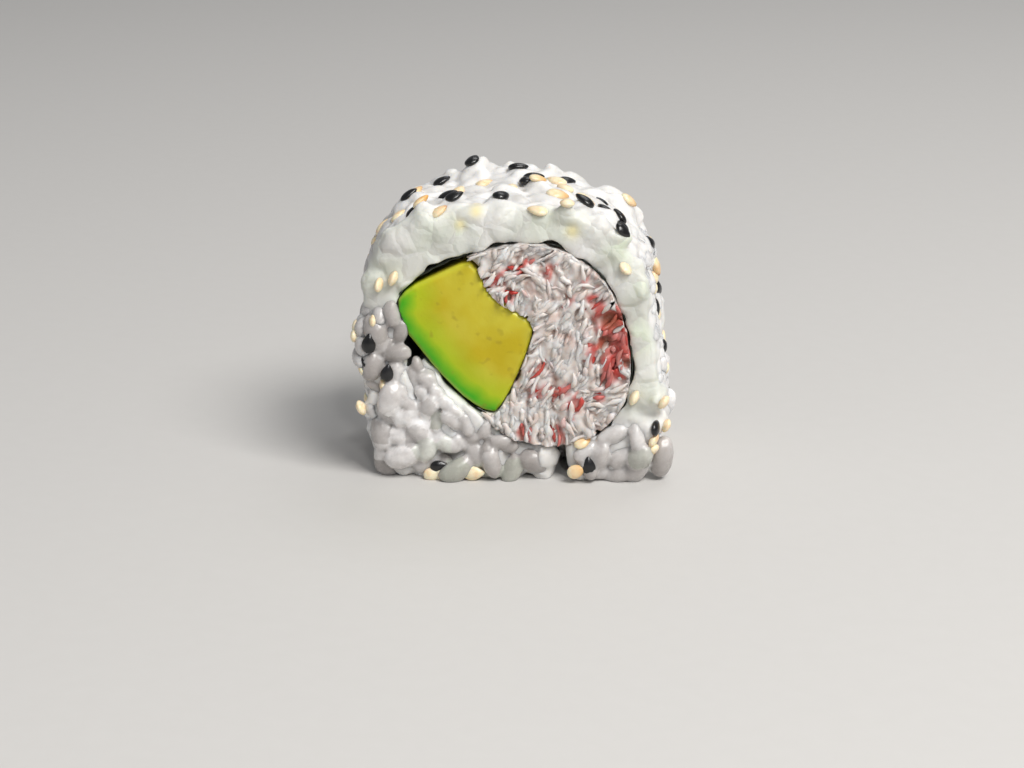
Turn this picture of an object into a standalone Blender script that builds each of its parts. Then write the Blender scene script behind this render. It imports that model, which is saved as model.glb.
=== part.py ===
"""An inside-out sushi roll (uramaki), cut to one bite.

Sticky rice lies outside, speckled with sesame. A sheet of nori winds once round the filling and its
tail runs on under the rice, so a wedge of rice is rolled in below the avocado. The filling is one
stick of avocado and shredded crab stick. All of it runs from the front cut to the back cut.

Metres, +Z up. The roll lies on its side along Y, with the shown cut facing -Y, and stands on Z = 0.
"""

import math

import bmesh
import bpy
import numpy as np
from mathutils import Matrix, Vector

# Driving dimensions
ROLL_WIDTH = 0.0466
ROLL_HEIGHT = 0.0425
ROLL_DEPTH = 0.0260
NORI_THICK = 0.0005
GAP = 0.0003  # left between neighbouring pieces

GRAIN_LENGTH = 0.0058
GRAIN_WIDTH = 0.0027
GRAIN_THICK = 0.0023
SEED_LENGTH = 0.0033
SEED_WIDTH = 0.0020
SEED_THICK = 0.0013
SHRED_LENGTH = 0.0042
SHRED_WIDTH = 0.0019

BLUNT = 1.35  # draws a bit's two rings of corners towards its tips, so that its ends are round
SKIN = 0.0010  # how far the pressed core lies under the tops of the grains
RIM_ROUND = 0.0016  # the core's edges between its side and its cuts
SMEAR = 0.0005  # how much deeper the knife has pressed the grains in the cut's upper part
LOOSE_UP_TO = 0.014  # height of the loose grains at the lower left of the front cut
LOOSE_STANDS = 0.0006  # how much further they stand out than the other grains
LUMPS_FROM_HEIGHT = 0.004  # the base under this height stays flat
SEED = 11  # starts every random draw

# Outlines of the cut, as shares of half the width and of the height, clockwise from the base
OUTER = (
    (-0.70, -0.01), (-0.91, 0.07), (-0.96, 0.17), (-0.985, 0.29), (-1.00, 0.43), (-0.99, 0.59),
    (-0.95, 0.76), (-0.82, 0.90), (-0.57, 0.972), (-0.20, 0.998), (0.18, 1.00), (0.53, 0.965),
    (0.77, 0.87), (0.89, 0.73), (0.945, 0.57), (0.975, 0.40), (1.00, 0.25), (0.955, 0.10),
    (0.75, -0.01), (0.00, -0.02),
)  # fmt: skip
NORI = (
    (-0.663, 0.517), (-0.605, 0.470), (-0.507, 0.403), (-0.407, 0.337), (-0.300, 0.278),
    (-0.190, 0.238), (-0.085, 0.180), (0.050, 0.143), (0.235, 0.127), (0.425, 0.137),
    (0.585, 0.182), (0.702, 0.251), (0.767, 0.337), (0.780, 0.435), (0.761, 0.525),
    (0.715, 0.622), (0.637, 0.712), (0.507, 0.787), (0.338, 0.843), (0.130, 0.867),
    (-0.085, 0.852), (-0.293, 0.812), (-0.488, 0.762), (-0.655, 0.703), (-0.735, 0.640),
    (-0.745, 0.573), (-0.715, 0.500), (-0.668, 0.405), (-0.625, 0.320), (-0.545, 0.250),
)  # fmt: skip
NORI_TURN = 25  # points of NORI that make the closed turn. The rest are the tail
AVOCADO = (
    (-0.720, 0.600), (-0.700, 0.652), (-0.610, 0.697), (-0.442, 0.745), (-0.312, 0.779),
    (-0.235, 0.785), (-0.190, 0.750), (-0.135, 0.682), (-0.015, 0.633), (0.105, 0.592),
    (0.150, 0.562), (0.130, 0.506), (0.072, 0.416), (0.000, 0.326), (-0.055, 0.272),
    (-0.095, 0.245), (-0.160, 0.255), (-0.286, 0.300), (-0.390, 0.356), (-0.494, 0.421),
    (-0.592, 0.490), (-0.682, 0.556),
)  # fmt: skip
POCKET = ((-0.690, 0.520), (-0.640, 0.500), (-0.550, 0.440), (-0.585, 0.400), (-0.640, 0.395))

# The crack where the rice has parted under the filling, at the front only
CRACK = (
    (0.275, -0.10), (0.270, 0.035), (0.295, 0.085), (0.310, 0.170), (0.365, 0.170),
    (0.385, 0.090), (0.405, 0.040), (0.395, -0.10),
)  # fmt: skip
CRACK_DEPTH = 0.0090

# Where hand pressure has left the outside high or low: share of the way round, share of the way
# back, height, spread
LUMPS = (
    (0.412, 0.90, 0.0012, 0.009), (0.478, 0.92, -0.0014, 0.0045), (0.290, 0.70, -0.0005, 0.006),
    (0.700, 0.45, 0.0006, 0.006), (0.600, 0.60, -0.0004, 0.006), (0.083, 0.05, -0.0012, 0.0022),
    (0.055, 0.10, 0.0006, 0.004), (0.200, 0.55, 0.0005, 0.007), (0.750, 0.95, 0.0009, 0.004),
    (0.612, 0.04, -0.0009, 0.0018),
)  # fmt: skip

# Seeds that show at the front: share of the way round, depth behind the front cut, turn in degrees
SEEDS_ON_SIDE = (
    (0.297, 0.0130, 5), (0.302, 0.0058, 15), (0.333, 0.0105, 0), (0.345, 0.0055, 20),
    (0.320, 0.0198, 10), (0.355, 0.0215, 70), (0.390, 0.0048, 60), (0.398, 0.0202, 0),
    (0.417, 0.0162, 10), (0.445, 0.0192, 30), (0.468, 0.0070, 160), (0.485, 0.0152, 150),
    (0.492, 0.0118, 140), (0.505, 0.0085, 130), (0.513, 0.0018, 0), (0.315, 0.0042, 90),
    (0.258, 0.0105, 40), (0.395, 0.0110, 80), (0.424, 0.0125, 45), (0.440, 0.0088, 10),
    (0.455, 0.0240, 20), (0.472, 0.0120, 0), (0.510, 0.0192, 30), (0.453, 0.0016, 90),
    (0.545, 0.0022, 120), (0.610, 0.0018, 100), (0.225, 0.0016, 80), (0.195, 0.0014, 95),
    (0.170, 0.0016, 75), (0.140, 0.0015, 100), (0.690, 0.0022, 60), (0.715, 0.0030, 110),
)  # fmt: skip
SHOWN_SIDE = (0.25, 0.53)  # the part of the way round that the seeds above lie on
BASE_ENDS, BASE_STARTS = 0.05, 0.76  # the way round starts and ends on the base
# Seeds in the front cut: shares of half the width and of the height, turn in degrees
SEEDS_ON_CUT = ((-0.90, 0.498, 90), (0.50, 0.075, 92), (0.88, 0.195, 125), (0.90, 0.300, 130))

GRAINS_ON_SIDE = 116
GRAINS_ON_CUT = 39
SEEDS_ELSEWHERE = 15
SHREDS_ON_CUT = 36


def clear_scene():
    for thing in list(bpy.data.objects):
        bpy.data.objects.remove(thing)


def new_collection(name, shown=True):
    collection = bpy.data.collections.new(name)
    bpy.context.scene.collection.children.link(collection)
    collection.hide_render = not shown
    return collection


def finish_of(name, colour, roughness):
    material = bpy.data.materials.new(name)
    material.use_nodes = True
    shader = material.node_tree.nodes["Principled BSDF"]
    shader.inputs["Base Color"].default_value = (*colour, 1.0)
    shader.inputs["Roughness"].default_value = roughness
    shader.inputs["Metallic"].default_value = 0.0
    return material


# Outlines

def sized(shares):
    """Points of the cut in metres."""
    return np.array(shares) * (ROLL_WIDTH / 2, ROLL_HEIGHT)


def smooth(points, count, closed):
    """Points spaced evenly along a Catmull-Rom curve through the given ones."""
    points = np.asarray(points, float)
    if closed:
        padded = np.vstack([points[-1], points, points[0], points[1]])
    else:
        padded = np.vstack([2 * points[0] - points[1], points, 2 * points[-1] - points[-2]])
    fine = []
    for a, b, c, d in zip(padded[:-3], padded[1:-2], padded[2:-1], padded[3:]):
        for t in np.linspace(0, 1, 16, endpoint=False):
            fine.append(
                0.5 * (2 * b + (c - a) * t + (2 * a - 5 * b + 4 * c - d) * t**2
                       + (3 * b - a - 3 * c + d) * t**3)
            )  # fmt: skip
    fine.append(padded[-2])
    fine = np.array(fine)
    along = np.r_[0, np.cumsum(np.linalg.norm(np.diff(fine, axis=0), axis=1))]
    at = np.linspace(0, along[-1], count, endpoint=not closed)
    return np.column_stack([np.interp(at, along, fine[:, k]) for k in range(2)])


def normals(points, closed):
    """Unit normals: outwards on a closed loop, and to the left of the way an open path runs."""
    if not closed:
        ahead = np.gradient(points, axis=0)
        ahead /= np.linalg.norm(ahead, axis=1)[:, None]
        return np.column_stack([-ahead[:, 1], ahead[:, 0]])
    after = np.roll(points, -1, axis=0)
    ahead = after - np.roll(points, 1, axis=0)
    ahead /= np.linalg.norm(ahead, axis=1)[:, None]
    twice_area = (points[:, 0] * after[:, 1] - after[:, 0] * points[:, 1]).sum()
    return np.column_stack([ahead[:, 1], -ahead[:, 0]]) * np.sign(twice_area)


def grown(points, distance, closed=True):
    return points + normals(points, closed) * distance


def strip(path, thickness):
    """The outline of a band of this thickness along an open path."""
    return np.vstack(
        [grown(path, thickness / 2, False), grown(path, -thickness / 2, False)[::-1]]
    )


def inside(loop, points):
    """Which points lie within the loop."""
    x, z = points[:, :1], points[:, 1:]
    ax, az = loop[:, 0], loop[:, 1]
    bx, bz = np.roll(ax, -1), np.roll(az, -1)
    crosses = ((az > z) != (bz > z)) & (x < (bx - ax) * (z - az) / (bz - az + 1e-12) + ax)
    return crosses.sum(axis=1) % 2 == 1


def distance_to(line, points):
    return np.linalg.norm(points[:, None] - line[None], axis=2).min(axis=1)


# Solids

def mesh_object(name, mesh, collection):
    made = bpy.data.objects.new(name, mesh)
    collection.objects.link(made)
    return made


def prism(name, outline, depth, collection, rounding=0.0):
    """The outline of the cut, run through the roll's depth, with its rims rounded."""
    curve = bpy.data.curves.new(name, "CURVE")
    curve.dimensions = "2D"
    curve.fill_mode = "BOTH"
    curve.extrude = depth / 2 - rounding
    curve.bevel_depth = rounding
    curve.bevel_resolution = 1
    curve.offset = -rounding
    spline = curve.splines.new("POLY")
    spline.points.add(len(outline) - 1)
    for point, (x, z) in zip(spline.points, outline):
        point.co = (x, z, 0, 1)
    spline.use_cyclic_u = True
    drawn = mesh_object(name + "_curve", curve, collection)
    drawn.rotation_euler = (math.pi / 2, 0, 0)
    bpy.context.view_layer.update()
    graph = bpy.context.evaluated_depsgraph_get()
    mesh = bpy.data.meshes.new_from_object(drawn.evaluated_get(graph))
    mesh.transform(drawn.matrix_world)
    bpy.data.objects.remove(drawn)
    shape = bmesh.new()
    shape.from_mesh(mesh)
    bmesh.ops.remove_doubles(shape, verts=shape.verts, dist=1e-6)
    bmesh.ops.recalc_face_normals(shape, faces=shape.faces)
    shape.to_mesh(mesh)
    shape.free()
    return mesh_object(name, mesh, collection)


def block(name, low, high, collection):
    mesh = bpy.data.meshes.new(name)
    shape = bmesh.new()
    bmesh.ops.create_cube(shape, size=1.0)
    size = Vector(high) - Vector(low)
    middle = (Vector(high) + Vector(low)) / 2
    shape.transform(Matrix.Translation(middle) @ Matrix.Diagonal((*size, 1)))
    shape.to_mesh(mesh)
    shape.free()
    return mesh_object(name, mesh, collection)


def bit(name, middle, along, out, size, collection):
    """A rice grain, seed or shred: a twenty-sided ball drawn out along one way."""
    mesh = bpy.data.meshes.new(name)
    shape = bmesh.new()
    bmesh.ops.create_icosphere(shape, subdivisions=1, radius=0.5)
    for vert in shape.verts:
        if abs(vert.co.z) < 0.45:
            vert.co.z *= BLUNT
    across = out.cross(along).normalized()
    turn = Matrix((across, along.cross(across).normalized(), along)).transposed().to_4x4()
    shape.transform(
        Matrix.Translation(middle) @ turn @ Matrix.Diagonal((size[1], size[2], size[0], 1))
    )
    shape.to_mesh(mesh)
    shape.free()
    return mesh_object(name, mesh, collection)


def joined(target, operation, others):
    """Applies one Boolean of the target with an object, or with all of a collection."""
    cut = target.modifiers.new(operation.title(), "BOOLEAN")
    cut.operation = operation
    cut.solver = "MANIFOLD"
    if isinstance(others, bpy.types.Collection):
        cut.operand_type = "COLLECTION"
        cut.collection = others
    else:
        cut.object = others
    graph = bpy.context.evaluated_depsgraph_get()
    mesh = bpy.data.meshes.new_from_object(target.evaluated_get(graph))
    target.modifiers.clear()
    target.data = mesh
    if isinstance(others, bpy.types.Collection):
        for used in list(others.objects):
            bpy.data.objects.remove(used)


def keep_largest(target):
    """Drops loose scraps, and fills any hollow that the joining has sealed."""
    shape = bmesh.new()
    shape.from_mesh(target.data)
    bmesh.ops.remove_doubles(shape, verts=shape.verts, dist=2e-6)
    left, islands = set(shape.faces), []
    while left:
        island, front = [], [left.pop()]
        while front:
            face = front.pop()
            island.append(face)
            beside = {other for edge in face.edges for other in edge.link_faces} & left
            left -= beside
            front.extend(beside)
        islands.append(island)
    islands.sort(key=len)
    scraps = [face for island in islands[:-1] for face in island]
    bmesh.ops.delete(shape, geom=scraps, context="FACES")
    shape.to_mesh(target.data)
    shape.free()


# Places for grains, seeds and shreds

def scatter(draw, low, high, count, spacing, allowed, wrap=0.0):
    """Random points at least the spacing apart, where allowed says so."""
    places = []
    for _ in range(count * 60):
        point = low + draw.random(2) * (high - low)
        if not allowed(point[None])[0]:
            continue
        if places:
            away = np.abs(np.array(places) - point)
            if wrap:
                away[:, 0] = np.minimum(away[:, 0], wrap - away[:, 0])
            if np.linalg.norm(away, axis=1).min() < spacing:
                continue
        places.append(point)
        if len(places) == count:
            break
    return places


class Side:
    """The roll's outer surface: how far round, and how deep, to a place in the model."""

    def __init__(self):
        self.loop = smooth(sized(OUTER), 240, True)
        self.out = normals(self.loop, True)
        steps = np.linalg.norm(np.diff(np.vstack([self.loop, self.loop[:1]]), axis=0), axis=1)
        self.length = steps.sum()

    def frame(self, round_share, y, depth):
        """A point this far under the surface, with the ways along, out and through the roll."""
        at = int(round_share * len(self.loop)) % len(self.loop)
        x, z = self.loop[at] - self.out[at] * depth
        out = Vector((self.out[at][0], 0, self.out[at][1]))
        through = Vector((0, 1, 0))
        return Vector((x, y, z)), through.cross(out), out, through


def pressed_uneven(target, side):
    """Moves the points of the fused rice out or in by the lumps. The base and the filling stay."""
    mesh = target.data
    flat = np.empty(len(mesh.vertices) * 3, np.float32)
    mesh.vertices.foreach_get("co", flat)
    points = flat.reshape(-1, 3).astype(float)
    cut = points[:, (0, 2)]
    nearest = np.linalg.norm(cut[:, None] - side.loop[None], axis=2).argmin(axis=1)
    move = np.zeros(len(points))
    for share, back, height, spread in LUMPS:
        centre = side.loop[int(share * len(side.loop))]
        away = np.linalg.norm(cut - centre, axis=1)
        behind = points[:, 1] - (back - 0.5) * ROLL_DEPTH
        move += height * np.exp(-(away**2 + behind**2) / spread**2)
    move *= np.clip(cut[:, 1] / LUMPS_FROM_HEIGHT, 0, 1)
    points[:, 0] += side.out[nearest][:, 0] * move
    points[:, 2] += side.out[nearest][:, 1] * move
    mesh.vertices.foreach_set("co", points.astype(np.float32).ravel())
    mesh.update()


def turned(first, second, angle):
    return first * math.cos(angle) + second * math.sin(angle)


def grains_on_side(draw, side, collection):
    """Whole grains pressed into the outside."""
    low, high = np.array((0, -ROLL_DEPTH / 2)), np.array((side.length, ROLL_DEPTH / 2))
    edge = ROLL_DEPTH / 2 - GRAIN_WIDTH * 0.55

    def off_the_base(p):
        at = (p[:, 0] / side.length * len(side.loop)).astype(int) % len(side.loop)
        off = (side.loop[at][:, 1] > GRAIN_THICK / 2) | (np.abs(p[:, 1]) > ROLL_DEPTH * 0.4)
        return off & (np.abs(p[:, 1]) < edge)

    spacing = GRAIN_WIDTH * 1.45
    places = scatter(draw, low, high, GRAINS_ON_SIDE, spacing, off_the_base, side.length)
    for number, (s, y) in enumerate(places):
        size = draw.uniform(0.88, 1.12)
        depth = GRAIN_THICK / 2 * size + draw.uniform(0.0, 0.25) * GRAIN_THICK
        middle, tangent, out, through = side.frame(s / side.length, y, depth)
        along = turned(tangent, through, draw.uniform(0, math.pi))
        if abs(y) > edge - GRAIN_LENGTH * 0.3:
            along = turned(tangent, through, draw.uniform(-0.4, 0.4))
        along = (along + out * draw.uniform(-0.2, 0.2)).normalized()
        out = (out - along * out.dot(along)).normalized()
        measures = [m * size for m in (GRAIN_LENGTH, GRAIN_WIDTH, GRAIN_THICK)]
        bit(f"side_grain_{number}", middle, along, out, measures, collection)


def grains_on_cut(draw, facing, count, collection):
    """Grains in one cut face, some of them cut short by the knife."""
    outer = smooth(sized(OUTER), 120, True)
    nori = smooth(sized(NORI), 120, False)
    turn = smooth(sized(NORI[:NORI_TURN]), 90, True)
    rim, clear = GRAIN_WIDTH * 0.75, GRAIN_WIDTH * 0.62

    def in_rice(p):
        between = inside(outer, p) & ~inside(turn, p)
        return between & (distance_to(outer, p) > rim) & (distance_to(nori, p) > clear)

    low = np.array((-ROLL_WIDTH / 2, 0))
    high = np.array((ROLL_WIDTH / 2, ROLL_HEIGHT))
    for number, (x, z) in enumerate(scatter(draw, low, high, count, GRAIN_WIDTH * 1.25, in_rice)):
        size = draw.uniform(0.75, 1.05)
        depth = GRAIN_THICK / 2 * size + draw.uniform(0.0, 0.2) * GRAIN_THICK
        depth += SMEAR * min(max(z / ROLL_HEIGHT - 0.25, 0) / 0.35, 1)
        if facing < 0 and x < 0 and z < LOOSE_UP_TO:
            size, depth = 1.12, depth - LOOSE_STANDS
        middle = Vector((x, facing * (ROLL_DEPTH / 2 - depth), z))
        out = Vector((0, facing, 0))
        along = turned(Vector((1, 0, 0)), Vector((0, 0, 1)), draw.uniform(0, math.pi))
        along = (along + out * draw.uniform(-0.25, 0.25)).normalized()
        out = (out - along * out.dot(along)).normalized()
        measures = [m * size for m in (GRAIN_LENGTH, GRAIN_WIDTH, GRAIN_THICK)]
        bit(f"cut_grain_{facing}_{number}", middle, along, out, measures, collection)


def seeds(draw, side, collection):
    """Sesame on the outside: the seeds that show, and others spread over the rest."""
    size = (SEED_LENGTH, SEED_WIDTH, SEED_THICK)
    places = [(share, deep - ROLL_DEPTH / 2, math.radians(t)) for share, deep, t in SEEDS_ON_SIDE]
    low, high = np.array((0, -ROLL_DEPTH * 0.42)), np.array((side.length, ROLL_DEPTH * 0.42))

    def elsewhere(p):
        share = p[:, 0] / side.length
        hidden = (share < SHOWN_SIDE[0]) | ((share > SHOWN_SIDE[1]) & (share < BASE_STARTS))
        return hidden & (share > BASE_ENDS) & (p[:, 1] > -ROLL_DEPTH * 0.25)

    more = scatter(draw, low, high, SEEDS_ELSEWHERE, 0.005, elsewhere, side.length)
    places += [(s / side.length, y, draw.uniform(0, math.pi)) for s, y in more]
    for number, (share, y, angle) in enumerate(places):
        middle, tangent, out, through = side.frame(share, y, SEED_THICK * 0.32)
        along = turned(tangent, through, angle)
        bit(f"seed_{number}", middle, along, out, size, collection)
    for number, (x, z, angle) in enumerate(SEEDS_ON_CUT):
        (x, z), out = sized((x, z)), Vector((0, -1, 0))
        middle = Vector((x, SEED_THICK * 0.4 - ROLL_DEPTH / 2, z))
        along = turned(Vector((1, 0, 0)), Vector((0, 0, 1)), math.radians(angle))
        bit(f"cut_seed_{number}", middle, along, out, size, collection)


def shreds_on_cut(draw, facing, collection):
    """The ends and curls of the crab shreds in one cut face."""
    turn = smooth(sized(NORI[:NORI_TURN]), 120, True)
    avocado = smooth(sized(AVOCADO), 90, True)
    clear = SHRED_WIDTH * 0.7

    def in_crab(p):
        in_filling = inside(turn, p) & ~inside(avocado, p)
        return in_filling & (distance_to(turn, p) > clear) & (distance_to(avocado, p) > clear)

    low, high = np.array((-ROLL_WIDTH / 4, 0)), np.array((ROLL_WIDTH / 2, ROLL_HEIGHT))
    places = scatter(draw, low, high, SHREDS_ON_CUT, SHRED_WIDTH * 1.3, in_crab)
    for number, (x, z) in enumerate(places):
        size = draw.uniform(0.7, 1.15)
        middle = Vector((x, facing * (ROLL_DEPTH / 2 - SHRED_WIDTH * draw.uniform(0.4, 0.65)), z))
        out = Vector((0, facing, 0))
        along = turned(Vector((1, 0, 0)), Vector((0, 0, 1)), draw.uniform(0.3, 2.6))
        along = (along + out * draw.uniform(-0.4, 0.4)).normalized()
        out = (out - along * out.dot(along)).normalized()
        measures = (SHRED_LENGTH * size, SHRED_WIDTH * size, SHRED_WIDTH * size)
        bit(f"shred_{facing}_{number}", middle, along, out, measures, collection)


# The pieces

def make_nori(parts):
    path = smooth(sized(NORI), 52, False)
    return prism("nori", strip(path, NORI_THICK), ROLL_DEPTH - 2 * GAP, parts)


def make_avocado(parts, helpers):
    outline = smooth(sized(AVOCADO), 36, True)
    avocado = prism("avocado", outline, ROLL_DEPTH - SKIN, parts, rounding=0.0004)
    turn = smooth(sized(NORI[:NORI_TURN]), 48, True)
    room = prism("room", grown(turn, -NORI_THICK / 2 - GAP), ROLL_DEPTH * 2, helpers)
    joined(avocado, "INTERSECT", room)
    keep_largest(avocado)
    return avocado, room


def make_crab(parts, helpers, room, draw):
    turn = smooth(sized(NORI[:NORI_TURN]), 48, True)
    outline = grown(turn, -NORI_THICK / 2 - GAP)
    crab = prism("crab_shreds", outline, ROLL_DEPTH - 2 * SKIN, parts)
    shreds = new_collection("Shreds")
    for facing in (-1, 1):
        shreds_on_cut(draw, facing, shreds)
    joined(crab, "UNION", shreds)
    avocado = grown(smooth(sized(AVOCADO), 36, True), GAP)
    joined(crab, "DIFFERENCE", prism("avocado_room", avocado, ROLL_DEPTH * 2, helpers))
    joined(crab, "INTERSECT", room)
    keep_largest(crab)
    return crab


def make_rice(parts, helpers, draw):
    side = Side()
    outline = grown(smooth(sized(OUTER), 40, True), -SKIN)
    rice = prism("rice_with_sesame", outline, ROLL_DEPTH - 2 * SKIN, parts, rounding=RIM_ROUND)
    bits = new_collection("Grains and seeds")
    grains_on_side(draw, side, bits)
    for facing in (-1, 1):
        grains_on_cut(draw, facing, GRAINS_ON_CUT, bits)
    seeds(draw, side, bits)
    joined(rice, "UNION", bits)
    pressed_uneven(rice, side)
    clear = NORI_THICK / 2 + GAP
    turn = smooth(sized(NORI[:NORI_TURN]), 48, True)
    tail = smooth(sized(NORI[NORI_TURN - 2 :]), 20, False)
    tail = np.vstack([tail, tail[-1] + (tail[-1] - tail[-2]) * 0.6])
    crack = prism("crack_room", smooth(sized(CRACK), 18, True), CRACK_DEPTH * 2, helpers)
    crack.location.y = -ROLL_DEPTH / 2
    cutters = [
        prism("filling_room", grown(turn, clear), ROLL_DEPTH * 2, helpers),
        prism("tail_room", strip(tail, 2 * clear), ROLL_DEPTH * 2, helpers),
        prism("pocket_room", smooth(sized(POCKET), 16, True), ROLL_DEPTH * 2, helpers),
        crack,
        block("under_floor", (-ROLL_WIDTH,) * 3, (ROLL_WIDTH, ROLL_WIDTH, 0), helpers),
    ]
    for cutter in cutters:
        joined(rice, "DIFFERENCE", cutter)
    keep_largest(rice)
    return rice


def main():
    clear_scene()
    parts = new_collection("Uramaki roll")
    helpers = new_collection("Cutters", shown=False)
    draw = np.random.default_rng(SEED)
    rice = make_rice(parts, helpers, draw)
    nori = make_nori(parts)
    avocado, room = make_avocado(parts, helpers)
    crab = make_crab(parts, helpers, room, draw)
    finishes = (
        (rice, "cooked_rice", (0.86, 0.86, 0.82), 0.35),
        (nori, "nori", (0.012, 0.018, 0.012), 0.45),
        (avocado, "avocado_flesh", (0.62, 0.56, 0.09), 0.4),
        (crab, "crab_stick", (0.84, 0.78, 0.74), 0.4),
    )
    for piece, name, colour, roughness in finishes:
        piece.data.materials.clear()
        piece.data.materials.append(finish_of(name, colour, roughness))
    for helper in helpers.objects:
        helper.hide_render = True
        helper.display_type = "WIRE"


main()
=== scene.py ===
# One slice of an inside-out sushi roll: rice, sesame, nori, avocado and shredded crab stick,
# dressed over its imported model. Lengths are in millimetres, and become metres where a mesh is made.
import math
import bmesh
import bpy
import numpy as np
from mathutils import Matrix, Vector
from mathutils.bvhtree import BVHTree
from mathutils.kdtree import KDTree


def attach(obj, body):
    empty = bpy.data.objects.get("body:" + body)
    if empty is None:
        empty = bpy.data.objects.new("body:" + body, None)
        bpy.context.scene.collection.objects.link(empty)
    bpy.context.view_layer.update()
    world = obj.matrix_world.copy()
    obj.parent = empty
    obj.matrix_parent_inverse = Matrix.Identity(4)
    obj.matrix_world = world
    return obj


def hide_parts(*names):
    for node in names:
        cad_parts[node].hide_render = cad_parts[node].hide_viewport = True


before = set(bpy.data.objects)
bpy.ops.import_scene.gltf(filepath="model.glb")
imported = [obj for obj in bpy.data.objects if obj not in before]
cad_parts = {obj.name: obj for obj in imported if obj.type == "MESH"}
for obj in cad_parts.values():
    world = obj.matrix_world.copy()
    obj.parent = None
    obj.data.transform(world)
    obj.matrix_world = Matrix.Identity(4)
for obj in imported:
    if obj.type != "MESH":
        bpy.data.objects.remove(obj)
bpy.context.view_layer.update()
mm = 0.001
roll = {
    "width": 46.6, "height": 42.5, "depth": 26.0,  # the driving sizes of the solids
    "middle": 21.0,  # height of the line that the seeds are placed round
    "slot": 0.55,  # half of the room that the solids leave for the nori
    "round": (-42, 222),  # height angles of its outside, from the lower right to the lower left
    "seed": 11,  # starts every random draw
}  # fmt: skip
draw = np.random.default_rng(roll["seed"])
print("frame loaded:", ", ".join(sorted(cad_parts)))


# Colours and shader nodes

def hexColour(code):
    # sRGB hex to the linear colour that Blender's sockets hold
    parts = [int(code[i:i + 2], 16) / 255 for i in (1, 3, 5)]
    return (*[c / 12.92 if c <= 0.04045 else ((c + 0.055) / 1.055) ** 2.4 for c in parts], 1.0)


def newMaterial(name):
    material = bpy.data.materials.new(name)
    material.use_nodes = True
    material.node_tree.nodes.clear()
    return material


def addNode(material, kind, inputs, out=None, **settings):
    # each input is a number, a hex colour or the socket that feeds it; gives back one output
    node = material.node_tree.nodes.new("ShaderNode" + kind)
    for key, value in settings.items():
        setattr(node, key, value)
    for key, value in inputs.items():
        named = [s for s in node.inputs if s.name == key and s.enabled]
        socket = node.inputs[key] if isinstance(key, int) else named[0]
        if isinstance(value, bpy.types.NodeSocket):
            material.node_tree.links.new(value, socket)
        else:
            socket.default_value = hexColour(value) if isinstance(value, str) else value
    given = [s for s in node.outputs if s.enabled and out in (None, s.name)]
    return given[0] if given else None


# Meshes and arrays

def meshFrom(points, faces):
    mesh = bpy.data.meshes.new("made")
    mesh.from_pydata((np.asarray(points) * mm).tolist(), [], [list(f) for f in faces])
    return mesh


def newPiece(name, mesh, material):
    mesh.materials.clear()
    mesh.materials.append(material)
    mesh.shade_smooth()
    piece = bpy.data.objects.new(name, mesh)
    bpy.context.scene.collection.objects.link(piece)
    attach(piece, "root")
    return piece


def pointsOf(mesh):
    flat = np.empty(len(mesh.vertices) * 3, np.float32)
    mesh.vertices.foreach_get("co", flat)
    return flat.reshape(-1, 3).astype(float) / mm


def normalsOf(mesh):
    flat = np.empty(len(mesh.vertices) * 3, np.float32)
    mesh.vertex_normals.foreach_get("vector", flat)
    return flat.reshape(-1, 3).astype(float)


def edgesOf(mesh):
    flat = np.empty(len(mesh.edges) * 2, np.int32)
    mesh.edges.foreach_get("vertices", flat)
    return flat.reshape(-1, 2)


def facesOf(mesh):
    return [list(p.vertices) for p in mesh.polygons]


def setPoints(mesh, points):
    mesh.vertices.foreach_set("co", (points * mm).astype(np.float32).ravel())
    mesh.update()


def setAttribute(mesh, name, values):
    attribute = mesh.attributes.new(name, "FLOAT", "POINT")
    attribute.data.foreach_set("value", np.asarray(values, np.float32))


def fused(points, faces, voxel):
    # one skin round everything that overlaps, in even squares of this size
    mesh = meshFrom(points, faces)
    holder = bpy.data.objects.new("toFuse", mesh)
    bpy.context.scene.collection.objects.link(holder)
    remesh = holder.modifiers.new("Fuse", "REMESH")
    remesh.mode = "VOXEL"
    remesh.voxel_size = voxel * mm
    graph = bpy.context.evaluated_depsgraph_get()
    made = bpy.data.meshes.new_from_object(holder.evaluated_get(graph))
    bpy.data.objects.remove(holder)
    bpy.data.meshes.remove(mesh)
    return made


def smoothed(values, edges, rounds, share=1.0):
    # share may be one number, or one for each point
    count = len(values)
    near = np.bincount(edges.ravel(), minlength=count)[:, None]
    weight = np.broadcast_to(np.asarray(share, float).reshape(-1, 1), (count, 1)) * 0.5
    for _ in range(rounds):
        total = np.empty_like(values)
        for axis in range(values.shape[1]):
            other = np.concatenate([values[edges[:, 1], axis], values[edges[:, 0], axis]])
            total[:, axis] = np.bincount(edges.T.ravel(), other, count)
        values = values + (total / near - values) * weight
    return values


def unit(vectors):
    return vectors / np.maximum(np.linalg.norm(vectors, axis=-1, keepdims=True), 1e-9)


def turned(degrees, first, second):
    # the way that lies this far round from first to second
    return math.cos(math.radians(degrees)) * first + math.sin(math.radians(degrees)) * second


def ball(level):
    shape = bmesh.new()
    bmesh.ops.create_icosphere(shape, subdivisions=level, radius=1.0)
    points = np.array([v.co for v in shape.verts])
    faces = np.array([[v.index for v in f.verts] for f in shape.faces])
    shape.free()
    return points, faces


def placedCopies(shapes, faces, places):
    # a shape's long way is Z and its flat way Y. A place is a middle, the long way, the way out
    # and three sizes: long, wide, thick
    points, joined = [], []
    for number, (middle, along, out, sizes) in enumerate(places):
        shape = shapes[number % len(shapes)]
        along = unit(along)
        out = unit(out - along * (out @ along))
        half = np.array([sizes[1], sizes[2], sizes[0]]) / 2
        points.append(middle + (shape * half) @ np.array([np.cross(out, along), out, along]))
        joined.append(faces + number * len(shape))
    return np.vstack(points), np.vstack(joined)


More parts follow.
